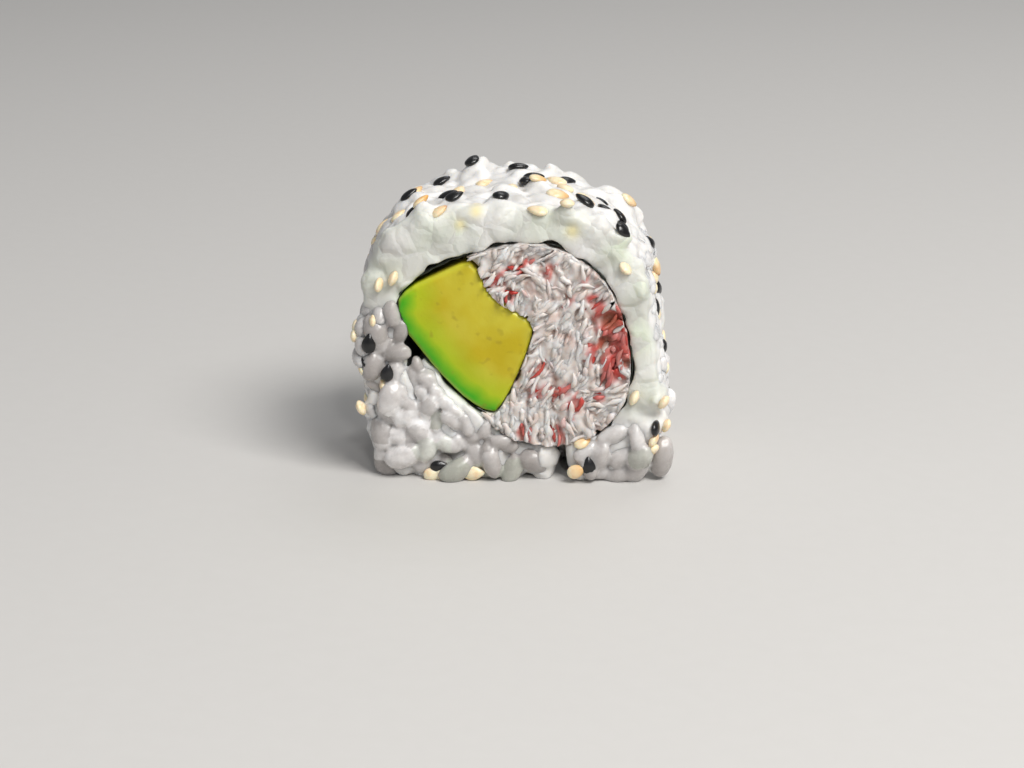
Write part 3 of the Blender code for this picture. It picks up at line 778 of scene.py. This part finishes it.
sesame = {
    "size": (3.2, 2.0, 1.3), "stands": 0.05,
    "black": (
        (130, 13.0, 5), (128, 5.8, 15), (117, 10.5, 5), (112, 5.5, 20), (121, 19.8, 15),
        (108, 21.5, 70), (94, 4.8, 60), (91, 20.2, 0), (84, 16.2, 8), (86, 14.8, 60),
        (71, 19.2, 30), (63, 7.0, 160), (56, 15.2, 150), (54, 11.8, 140), (49, 8.8, 150),
        (46.5, 6.8, 130), (46.5, 2.0, 5), (8, 0.5, 100), (-29, 0.4, 120),
    ),
    "cutFront": -13.8,  # those on the cut lie at least this far forward, on the whole grains
    "blackOnCut": ((-20.9, 21.2, 85), (-18.2, 16.7, 80), (12.0, 2.9, 95), (-10.5, 2.1, 10)),
    "toasted": (
        (129, 14.5, 20), (123, 4.2, 15), (127, 0.6, 30), (118, 2.0, 5), (143, 10.5, 40),
        (134, 7.5, 50), (92, 12.2, 75), (82, 13.6, 20), (73, 8.8, 10), (71, 13.2, 150),
        (79, 1.6, 165), (69, 1.2, 95), (68, 25.0, 30), (64, 25.0, 0), (62, 12.0, 10),
        (75, 16.5, 160), (47, 19.2, 30), (36, 0.9, 110), (150, 0.7, 95), (158, 0.6, 92),
        (171, 0.7, 95), (178, 1.6, 80), (185, 0.6, 95), (191, 0.8, 100), (200, 0.6, 85),
        (205, 0.7, 110), (-20, 0.8, 60), (-25, 0.6, 120), (-28, 2.2, 70), (-33, 0.6, 110),
        (-37, 0.7, 40), (104, 16.0, 30), (114, 14.0, 60),
    ),
    "toastedOnCut": ((-11.4, 0.8, 10), (-9.8, 1.1, 20), (-5.3, 1.2, 5), (10.2, 2.0, 25)),
    "moreBlack": 20, "moreToasted": 32, "shownAngles": (32, 148), "shownBehind": 14.5,
    "jet": "#070708", "charcoal": "#1b1a1d", "cream": "#f3e6c6", "amber": "#dda24c",
    "scorch": "#8a4818",
}  # fmt: skip


def blackSesameMaterial():
    # black sesame: a hard, faintly ribbed coat, so small sharp grey lights on near black
    material = newMaterial("black_sesame_coat")
    place = addNode(material, "TexCoord", {}, "Object")
    tone = addNode(material, "Attribute", {}, "Fac", attribute_name="tone")
    ribs = addNode(material, "TexNoise", {"Vector": place, "Scale": 1 / (0.22 * mm)})
    bump = addNode(material, "Bump", {
        "Height": ribs, "Distance": 0.05 * mm, "Strength": 0.6})
    colour = addNode(material, "Mix", {
        "Factor": tone, "A": sesame["jet"], "B": sesame["charcoal"]}, data_type="RGBA")
    shader = addNode(material, "BsdfPrincipled", {
        "Base Color": colour, "Normal": bump, "Roughness": 0.30, "IOR": 1.5,
        "Coat Weight": 0.3, "Coat Roughness": 0.12})
    addNode(material, "OutputMaterial", {"Surface": shader})
    return material


def toastedSesameMaterial():
    # hulled sesame, toasted: cream, amber where the pan caught it, brown at the pointed end
    material = newMaterial("toasted_sesame_coat")
    place = addNode(material, "TexCoord", {}, "Object")
    tone = addNode(material, "Attribute", {}, "Fac", attribute_name="tone")
    tip = addNode(material, "Attribute", {}, "Fac", attribute_name="tip")
    mottle = addNode(material, "TexNoise", {"Vector": place, "Scale": 1 / (0.9 * mm)})
    browned = addNode(material, "MapRange", {
        "Value": mottle, "From Min": 0.45, "From Max": 0.7, "To Max": 0.35})
    colour = sesame["cream"]
    for share, tint in ((browned, "amber"), (tone, "amber"), (tip, "scorch")):
        colour = addNode(material, "Mix", {
            "Factor": share, "A": colour, "B": sesame[tint]}, data_type="RGBA")
    pits = addNode(material, "TexNoise", {"Vector": place, "Scale": 1 / (0.25 * mm)})
    bump = addNode(material, "Bump", {
        "Height": pits, "Distance": 0.04 * mm, "Strength": 0.5})
    shader = addNode(material, "BsdfPrincipled", {
        "Base Color": colour, "Normal": bump, "Roughness": 0.34, "IOR": 1.47,
        "Subsurface Weight": 0.3, "Subsurface Radius": (0.7, 0.4, 0.2), "Subsurface Scale": mm,
        "Coat Weight": 0.2, "Coat Roughness": 0.2})
    addNode(material, "OutputMaterial", {"Surface": shader})
    return material


def sesameShape(level=3):
    # a flat teardrop with one pointed end and a faint groove inside its rim
    points, faces = ball(level)
    shape = points.copy()
    taper = 1 - 0.36 * points[:, 2] - 0.16 * points[:, 2] ** 2
    shape[:, 0] *= taper * 1.08
    shape[:, 1] *= np.sqrt(np.clip(taper, 0.05, None))
    shape[:, 1] *= 1 - 0.18 * np.exp(-((np.abs(points[:, 0]) - 0.72) ** 2) / 0.02)
    return shape, faces


def seedPlaces(listed, onCut, more):
    across, ahead, up = np.eye(3)
    spots = list(listed)
    low, high = sesame["shownAngles"]
    while len(spots) < len(listed) + more:
        angle = draw.uniform(*roll["round"])
        behind = draw.uniform(2.5 if angle > high else sesame["shownBehind"], 25.5)
        if not low < angle < high:
            spots.append((angle, behind, draw.uniform(0, 180)))
    places = []
    for angle, behind, turn in spots:
        found = castRound(angle, behind - roll["depth"] / 2)
        if found is not None:
            spot, out, way = found
            out = unit(out - ahead * max(0.0, 1 - behind / 1.5))  # those at the rim face forward
            along = turned(turn, unit(np.cross(ahead, way)), ahead)
            places.append((spot + out * sesame["stands"], along, out))
    for x, z, turn in onCut:
        found = castAt((x, -40, z), (0, 1, 0))
        if found is not None:
            y = min(found[0][1] - sesame["stands"], sesame["cutFront"])
            places.append((np.array([x, y, z]), turned(turn, across, up), -ahead))
    return places


def makeSesame(name, material, places):
    shape, faces = sesameShape()
    tipped = []
    for middle, along, out in places:
        along = unit(along + out * draw.uniform(-0.15, 0.15))
        out = unit(out + draw.normal(size=3) * 0.12)
        tipped.append((middle, along, out, np.array(sesame["size"]) * draw.uniform(0.88, 1.1)))
    points, allFaces = placedCopies([shape], faces, tipped)
    points[:, 2] = np.maximum(points[:, 2], 0.0)
    piece = newPiece(name, meshFrom(points, allFaces), material)
    # each seed browns from its pointed end, some hardly and some far
    brown = np.clip((shape[None, :, 2] + 0.9) / 1.6, 0, 1) * draw.random((len(places), 1)) ** 1.3
    point = np.clip((shape[None, :, 2] - 0.66) / 0.3, 0, 1) * draw.random((len(places), 1)) ** 2
    setAttribute(piece.data, "tone", brown.ravel())
    setAttribute(piece.data, "tip", point.ravel())
    print(name.replace("_", " ") + ":", len(places), "seeds")


makeSesame("black_sesame", blackSesameMaterial(),
           seedPlaces(sesame["black"], sesame["blackOnCut"], sesame["moreBlack"]))
makeSesame("toasted_sesame", toastedSesameMaterial(),
           seedPlaces(sesame["toasted"], sesame["toastedOnCut"], sesame["moreToasted"]))


# Nori: one thin sheet that follows the solid's spiral, torn and wavy where the knife met it

nori = {
    "thick": 0.26, "rows": 44, "along": 380, "wave": 0.05,
    "sunk": 1.2, "torn": 0.8,  # behind the cut at least, and how much more here and there
    "tuckedUpTo": 0.17, "tucked": 1.8,  # this share of its length lies deeper, under the grains
    "dark": "#0a0f0b", "olive": "#1d2a1a",
}  # fmt: skip


def noriMaterial():
    # dried laver gone damp: nearly black, olive where thin, with a dull sheen and fine wrinkles
    material = newMaterial("damp_nori_sheet")
    place = addNode(material, "TexCoord", {}, "Object")
    fronds = addNode(material, "TexNoise", {"Vector": place, "Scale": 1 / (1.4 * mm)})
    share = addNode(material, "MapRange", {
        "Value": fronds, "From Min": 0.42, "From Max": 0.7})
    colour = addNode(material, "Mix", {
        "Factor": share, "A": nori["dark"], "B": nori["olive"]}, data_type="RGBA")
    wrinkles = addNode(material, "TexNoise", {"Vector": place, "Scale": 1 / (0.5 * mm)})
    bump = addNode(material, "Bump", {
        "Height": wrinkles, "Distance": 0.12 * mm, "Strength": 0.8})
    shader = addNode(material, "BsdfPrincipled", {
        "Base Color": colour, "Normal": bump, "Roughness": 0.46, "IOR": 1.45,
        "Sheen Weight": 0.1, "Sheen Roughness": 0.5})
    addNode(material, "OutputMaterial", {"Surface": shader})
    return material


def makeNori():
    line = smoothLine(sized(noriRoute), nori["along"], False)
    rows = np.linspace(-1, 1, nori["rows"])
    rows = np.sign(rows) * np.abs(rows) ** 0.7  # closer together near the cuts
    share = np.linspace(0, 1, len(line))
    tucked = nori["tucked"] * np.clip((nori["tuckedUpTo"] - share) / 0.02, 0, 1)
    reaches = []
    for facing in (-1, 1):
        edge = withCut(np.full((len(line), 3), facing * 9.0), line)
        torn = np.clip(0.6 * waves(edge, 5) + 0.4 * waves(edge, 1.6) + 0.3, 0, 1.4)
        reaches.append(roll["depth"] / 2 - nori["sunk"] - nori["torn"] * torn - tucked)
    behind = np.where(rows[None] < 0, reaches[0][:, None], reaches[1][:, None]) * rows
    flat = np.column_stack([
        np.repeat(line[:, 0], len(rows)), behind.ravel(), np.repeat(line[:, 1], len(rows))])
    side = np.repeat(sideways(line, False), len(rows), axis=0)
    shift = nori["wave"] * (waves(flat, 4.5) + 0.6 * waves(flat, 1.8))
    half = nori["thick"] / 2 * (1 + 0.2 * waves(flat, 2.2))
    skins = [withCut(flat, flat[:, (0, 2)] + side * (shift + way * half)[:, None])
             for way in (1, -1)]
    count, wide = len(line), len(rows)
    index = np.arange(count * wide).reshape(count, wide)
    quads = np.stack([index[:-1, :-1], index[1:, :-1], index[1:, 1:], index[:-1, 1:]], axis=-1)
    quads = quads.reshape(-1, 4)
    rim = np.concatenate([index[:, 0], index[-1, 1:], index[-2::-1, -1], index[0, -2:0:-1]])
    after = np.roll(rim, -1)
    wall = np.stack([after, rim, rim + count * wide, after + count * wide], axis=-1)
    faces = np.vstack([quads, quads[:, ::-1] + count * wide, wall])
    piece = newPiece("nori_sheet", meshFrom(np.vstack(skins), faces), noriMaterial())
    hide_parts("nori")
    print("nori:", len(faces), "faces")


makeNori()
makeLooseGrains()


# Avocado: one ripe stick, cut faces nearly flat, green only where the skin came off

avocado = {
    "voxel": 0.25, "rounds": 3, "ripple": 0.06, "crown": 0.4, "clear": 0.28,
    "yellow": "#c5b930", "mustard": "#bda906", "lime": "#aac009", "green": "#34a800",
    # the rim colour is a painted highlight along the edges of the cut faces
    "skin": "#107800", "rim": "#cdd244", "fleck": "#93801c",
    "greenTo": 2.2, "limeTo": 6.4,  # mm in from the skin side
}  # fmt: skip


def avocadoMaterial():
    # ripe flesh: buttery, mustard in the middle, leaf green at the skin side, a few brown fibres, and
    # a painted highlight along the edges of the cut faces
    material = newMaterial("ripe_avocado_flesh")
    place = addNode(material, "TexCoord", {}, "Object")
    fromSkin = addNode(material, "Attribute", {}, "Fac", attribute_name="fromSkin")
    rim = addNode(material, "Attribute", {}, "Fac", attribute_name="rim")
    wander = addNode(material, "TexNoise", {"Vector": place, "Scale": 1 / (3.5 * mm)})
    wander = addNode(material, "MapRange", {
        "Value": wander, "From Min": 0.3, "From Max": 0.7, "To Min": -0.35, "To Max": 0.35})
    away = addNode(material, "Math", {0: fromSkin, 1: wander}, operation="ADD")
    blotches = addNode(material, "TexNoise", {"Vector": place, "Scale": 1 / (5 * mm)})
    fibres = addNode(material, "TexNoise", {
        "Vector": place, "Scale": 1 / (1.5 * mm), "Detail": 1.0})
    # what spreads each colour, where that starts and ends, and the colour's share at both
    colour = avocado["yellow"]
    for tint, spread, low, high, atLow, atHigh in (
            ("mustard", blotches, 0.4, 0.65, 0.0, 1.0),
            ("lime", away, avocado["greenTo"], avocado["limeTo"], 1.0, 0.0),
            ("green", away, 0.6, avocado["greenTo"] + 0.6, 1.0, 0.0),
            ("skin", fromSkin, 0.0, 0.5, 0.8, 0.0),
            # painted highlight on the rim
            ("rim", rim, 0.0, 1.0, 0.0, 1.0),
            ("fleck", fibres, 0.66, 0.78, 0.0, 0.4)):
        share = addNode(material, "MapRange", {
            "Value": spread, "From Min": low, "From Max": high, "To Min": atLow, "To Max": atHigh})
        colour = addNode(material, "Mix", {
            "Factor": share, "A": colour, "B": avocado[tint]}, data_type="RGBA")
    drag = addNode(material, "TexNoise", {"Vector": place, "Scale": 1 / (0.6 * mm)})
    bump = addNode(material, "Bump", {
        "Height": drag, "Distance": 0.05 * mm, "Strength": 0.5})
    shader = addNode(material, "BsdfPrincipled", {
        "Base Color": colour, "Normal": bump, "Roughness": 0.38, "IOR": 1.42,
        "Subsurface Weight": 0.2, "Subsurface Radius": (1.2, 1.0, 0.3), "Subsurface Scale": mm,
        "Coat Weight": 0.12, "Coat Roughness": 0.2})
    addNode(material, "OutputMaterial", {"Surface": shader})
    return material


def makeAvocado():
    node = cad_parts["avocado"]
    mesh = fused(pointsOf(node.data), facesOf(node.data), avocado["voxel"])
    points = smoothed(pointsOf(mesh), edgesOf(mesh), avocado["rounds"])
    inFrom, _ = nearestOn(avocadoLine, points[:, (0, 2)])
    atCut = nearCut(points, 11.0, 1.0)
    crown = avocado["crown"] * np.clip(inFrom / 5, 0, 1) ** 0.6
    ripple = avocado["ripple"] * waves(points * (1, 0, 1), 3.4)
    points[:, 1] += np.sign(points[:, 1]) * atCut * (crown + ripple)
    setPoints(mesh, pressedTo(points, avocado["clear"], 1.8))
    skinLine = smoothLine(sized(avocadoOutline[skinSide:] + avocadoOutline[:2]), 160, False)
    fromSkin, _ = nearestOn(skinLine, points[:, (0, 2)])
    piece = newPiece("avocado_stick", mesh, avocadoMaterial())
    setAttribute(mesh, "fromSkin", fromSkin)
    # painted highlight, strongest on the outline of each cut face
    setAttribute(mesh, "rim", 0.5 * np.exp(-((inFrom / 0.45) ** 2)) * atCut)
    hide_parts("avocado")
    print("avocado:", len(mesh.polygons), "faces")


makeAvocado()


# Crab stick: a packed core with hundreds of short fibres bunched in each cut

crab = {
    "voxel": 0.30, "bundles": (330, 230), "inBundle": (2, 5), "long": (1.5, 3.8),
    "thick": (0.50, 0.95), "apart": 0.85, "deep": (0.1, 1.0), "coreSunk": 1.0,
    "loose": 3, "proud": 0.3,  # every third fibre stays separate, this far out of the others
    "bunch": 4.2, "groove": 0.55, "grooveDeep": 0.9,  # fibres bunch, with a groove between
    "lean": 1.15, "wide": 1.3, "tall": 0.75,  # the bunches lean and are longer than wide
    "hollows": ((14.9, 25.2, 1.5, 1.5), (14.2, 22.0, 1.0, 1.4), (17.3, 18.8, 0.8, 1.2)),
    "lip": 0.26, "lipWaves": 0.10, "leftmost": -4.8, "fromAvocado": 0.05,
    # the crease colour is painted shade, brown, between fibres and in the grooves and hollows
    "white": "#dfdbd8", "cream": "#d1c4ba", "paintedCreaseShade": "#935b43", "red": "#9c1109",
    "pink": "#c94236",
    # x, z and reach of the places where dyed fibres show
    "redSpots": (
        (14.9, 25.4, 1.8), (14.3, 22.2, 1.2),
        (15.6, 22.8, 1.8), (15.9, 20.0, 2.0), (15.2, 17.6, 1.6), (12.2, 28.3, 1.5), (6.0, 32.8, 0.8),
        (2.0, 32.8, 1.1), (-1.9, 30.9, 1.1), (-0.2, 28.8, 1.0), (8.8, 28.7, 0.7), (4.0, 17.5, 0.7),
        (4.0, 14.1, 1.1), (7.4, 14.2, 1.2), (9.6, 12.6, 1.2), (12.2, 20.6, 1.2), (2.4, 7.6, 0.8),
        (7.2, 7.8, 0.9), (13.8, 13.7, 0.7), (10.6, 31.4, 0.7),
    ),
}  # fmt: skip


def crabMaterial():
    # surimi: pressed fish fibre, chalky white and damp, dyed red on what was the stick's outside
    material = newMaterial("shredded_crab_stick")
    place = addNode(material, "TexCoord", {}, "Object")
    red = addNode(material, "Attribute", {}, "Fac", attribute_name="red")
    paintedCreaseShade = addNode(material, "Attribute", {}, "Fac", attribute_name="paintedCreaseShade")
    patches = addNode(material, "TexNoise", {"Vector": place, "Scale": 1 / (1.6 * mm)})
    patches = addNode(material, "MapRange", {
        "Value": patches, "From Min": 0.4, "From Max": 0.7})
    colour = addNode(material, "Mix", {
        "Factor": patches, "A": crab["white"], "B": crab["cream"]}, data_type="RGBA")
    faded = addNode(material, "TexNoise", {"Vector": place, "Scale": 1 / (0.8 * mm)})
    dye = addNode(material, "Mix", {
        "Factor": faded, "A": crab["red"], "B": crab["pink"]}, data_type="RGBA")
    colour = addNode(material, "Mix", {
        "Factor": red, "A": colour, "B": dye}, data_type="RGBA")
    # painted shade in the creases, grooves and hollows
    colour = addNode(material, "Mix", {
        "Factor": paintedCreaseShade, "A": colour, "B": crab["paintedCreaseShade"]}, data_type="RGBA")
    fibre = addNode(material, "TexNoise", {"Vector": place, "Scale": 1 / (0.3 * mm)})
    bump = addNode(material, "Bump", {
        "Height": fibre, "Distance": 0.06 * mm, "Strength": 0.6})
    shader = addNode(material, "BsdfPrincipled", {
        "Base Color": colour, "Normal": bump, "Roughness": 0.38, "IOR": 1.40,
        "Subsurface Weight": 0.35, "Subsurface Radius": (0.9, 0.6, 0.45), "Subsurface Scale": mm,
        "Coat Weight": 0.15, "Coat Roughness": 0.2})
    addNode(material, "OutputMaterial", {"Surface": shader})
    return material


def bentStrand(middle, along, out, length, thick):
    # a short bent tube with rounded ends, thicker in places
    steps, sides = 6, 5
    t = np.linspace(-1, 1, steps)
    bend, lift = draw.normal() * 0.13 * length, draw.normal() * 0.08 * length
    line = middle + np.outer(t * length / 2, along)
    line += np.outer((1 - t**2), unit(np.cross(out, along)) * bend + out * lift)
    radius = thick / 2 * (1 - np.abs(t) ** 5 * 0.75)
    radius *= 1 + 0.22 * np.sin(t * 5 + draw.uniform(0, 6))
    ahead = unit(np.gradient(line, axis=0))
    first = unit(np.cross(ahead, out))
    second = np.cross(ahead, first)
    turn = np.linspace(0, 2 * math.pi, sides, endpoint=False)[None, :, None]
    ring = np.cos(turn) * first[:, None] + np.sin(turn) * second[:, None]
    points = (line[:, None] + ring * radius[:, None, None]).reshape(-1, 3)
    ends = [line[0] - ahead[0] * radius[0] * 0.6, line[-1] + ahead[-1] * radius[-1] * 0.6]
    start, end, last = steps * sides, steps * sides + 1, (steps - 1) * sides
    faces = []
    for j in range(sides):
        k = (j + 1) % sides
        faces += [[i + j, i + k, i + k + sides, i + j + sides] for i in range(0, last, sides)]
        faces += [[start, k, j], [end, last + j, last + k]]
    return np.vstack([points, ends]), faces


def inCrab(cut, clear):
    room = insideLoop(turnLine, cut) & ~insideLoop(avocadoLine, cut)
    room &= nearestOn(turnLine, cut)[0] > clear + 0.15
    return room & (nearestOn(avocadoLine, cut)[0] > clear)


def keptInRoom(points):
    # inside the nori's turn and off the avocado
    cut = points[:, (0, 2)]
    distance, index = nearestOn(turnLine, cut)
    inner = turnLine[index] - sideways(turnLine, True)[index] * roll["slot"]
    beyond = ~insideLoop(turnLine, cut) | (distance < roll["slot"])
    cut = np.where(beyond[:, None], inner, cut)
    distance, index = nearestOn(avocadoLine, cut)
    outer = avocadoLine[index] + sideways(avocadoLine, True)[index] * crab["fromAvocado"]
    within = insideLoop(avocadoLine, cut) | (distance < crab["fromAvocado"])
    return withCut(points, np.where(within[:, None], outer, cut))


def spotsInCrab(count, clear, apart):
    # random places in the crab's part of the cut, none nearer to another than this
    taken = np.empty((0, 2))
    for _ in range(count * 12):
        spot = np.array([[draw.uniform(crab["leftmost"], 18.5), draw.uniform(5, 37)]])
        crowded = len(taken) and np.linalg.norm(taken - spot, axis=1).min() < apart
        if len(taken) < count and not crowded and inCrab(spot, clear)[0]:
            taken = np.vstack([taken, spot])
    return taken


def grooveAt(cut, bunches):
    # up to 1 midway between two bunches of fibres, 0 inside one, and fainter here and there
    lean = crab["lean"]
    stretch = np.array([
        [math.sin(lean) * crab["wide"], math.cos(lean) * crab["tall"]],
        [-math.cos(lean) * crab["wide"], math.sin(lean) * crab["tall"]]])
    bent = cut + 0.5 * np.sin(cut[:, ::-1] * 1.7 + (0.3, 1.9))
    away = np.sort(np.linalg.norm((bent[:, None] - bunches[None]) @ stretch, axis=2), axis=1)
    fainter = np.clip(0.6 + 0.6 * np.sin(cut[:, 0] * 1.1 + 1.5 * np.sin(cut[:, 1] * 0.8)), 0.1, 1)
    return np.exp(-((away[:, 1] - away[:, 0]) / crab["groove"]) ** 2) * fainter


def withHollows(dip, cut):
    # adds the few deep hollows to how far things lie back
    for x, z, reach, deep in crab["hollows"]:
        away = np.hypot(cut[:, 0] - x, cut[:, 1] - z) / reach
        dip += deep * np.exp(-away**4)
    return dip


def dipAt(cut, bunches):
    # how far the fibres lie back, in grooves and in hollows
    return withHollows(crab["grooveDeep"] * grooveAt(cut, bunches), cut)


def joined(parts):
    # one list of points and one of faces
    points, faces, count = [], [], 0
    for partPoints, partFaces in parts:
        points.append(partPoints)
        faces += [[i + count for i in face] for face in partFaces]
        count += len(partPoints)
    return np.vstack(points), faces


def crabStrands(facing, many):
    # the fibres that show in one cut, each with how red it is, and the middles of their bunches
    half = roll["depth"] / 2
    out = np.array([0, facing, 0.0])
    bunches = spotsInCrab(80, 0.8, crab["bunch"])
    slants = draw.normal(1.2, 0.55, len(bunches))
    dyedAt = np.array(crab["redSpots"])
    strands = []

    def addStrand(spot, behind, along):
        start = np.array([spot[0], facing * (half - behind), spot[1]])
        points, faces = bentStrand(start, unit(along), out, draw.uniform(*crab["long"]),
                                   draw.uniform(*crab["thick"]))
        loose = len(strands) % crab["loose"] == 0
        points[:, 1] += facing * (crab["proud"] * loose - dipAt(points[:, (0, 2)], bunches))
        points[:, 1] = facing * np.minimum(facing * points[:, 1], half + 0.5)
        dyed = (np.hypot(*(dyedAt[:, :2] - spot).T) < dyedAt[:, 2]).any()
        strands.append((points, faces, draw.uniform(0.7, 1.0) if dyed else draw.beta(0.3, 9)))

    for spot in spotsInCrab(many, 0.3, crab["apart"]):
        slant = slants[np.linalg.norm(bunches - spot, axis=1).argmin()] + draw.normal() * 0.28
        behind = draw.uniform(*crab["deep"])
        for number in range(draw.integers(*crab["inBundle"])):
            aside = (number - 1) * 0.62
            nextTo = spot + np.array([-math.sin(slant), math.cos(slant)]) * aside
            nextTo += draw.normal(size=2) * 0.2
            along = np.array([math.cos(slant), draw.normal() * 0.2, math.sin(slant)])
            addStrand(nextTo, behind + draw.normal() * 0.12, along)
    inward = -sideways(turnLine, True)
    for index in range(0, len(turnLine), 3):  # more fibres lie along the nori
        spot = turnLine[index] + inward[index] * draw.uniform(0.6, 1.0)
        if spot[0] > crab["leftmost"] and inCrab(spot[None], 0.25)[0]:
            along = np.array([inward[index][1], draw.normal() * 0.15, -inward[index][0]])
            addStrand(spot, draw.uniform(0.3, 0.9), along)
    return strands, bunches


def makeCrab():
    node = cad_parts["crab_shreds"]
    core = fused(pointsOf(node.data), facesOf(node.data), 0.6)
    half = roll["depth"] / 2
    points = smoothed(pointsOf(core), edgesOf(core), 6)
    points[:, 1] = np.clip(points[:, 1], crab["coreSunk"] - half, half - crab["coreSunk"])
    points[:, 1] -= np.sign(points[:, 1]) * withHollows(np.zeros(len(points)), points[:, (0, 2)])
    front, frontBunches = crabStrands(-1, crab["bundles"][0])
    back, backBunches = crabStrands(1, crab["bundles"][1])
    packed = [s for strands in (front, back) for n, s in enumerate(strands) if n % crab["loose"]]
    loose = front[::crab["loose"]] + back[::crab["loose"]]
    mesh = fused(*joined([(points, facesOf(core))] + [s[:2] for s in packed]), crab["voxel"])
    edges = edgesOf(mesh)
    points = smoothed(pointsOf(mesh), edges, 1)
    # painted shade, brown, where the fibres go down between others, and most in the grooves
    paintedCreaseShade = np.clip(sunkBy(mesh, points, 12) / 0.45 - 0.15, 0, 1)
    owner = nearestOf(points, np.vstack([s[0] for s in packed]))
    red = np.concatenate([np.full(len(s[0]), s[2]) for s in packed])[owner]
    red = smoothed(red[:, None], edges, 3)[:, 0] * np.clip(4.5 - half + np.abs(points[:, 1]), 0, 1)
    points, faces = joined([(points, facesOf(mesh))] + [s[:2] for s in loose])
    points = pressedTo(keptInRoom(points), crab["lip"] + crab["lipWaves"] * waves(points, 2.4), 2.0)
    cut = points[:, (0, 2)]
    dip = np.where(points[:, 1] < 0, dipAt(cut, frontBunches), dipAt(cut, backBunches))
    paintedCreaseShade = np.concatenate([paintedCreaseShade, np.zeros(len(points) - len(paintedCreaseShade))])
    mesh = meshFrom(points, faces)
    piece = newPiece("crab_stick_shreds", mesh, crabMaterial())
    # painted shade: deepest in the grooves and hollows
    setAttribute(mesh, "paintedCreaseShade", np.clip(paintedCreaseShade * 0.75 + dip * 0.5, 0, 0.9))
    setAttribute(mesh, "red", np.concatenate([red] + [np.full(len(s[0]), s[2]) for s in loose]))
    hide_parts("crab_shreds")
    print("crab stick:", len(mesh.polygons), "faces")


makeCrab()
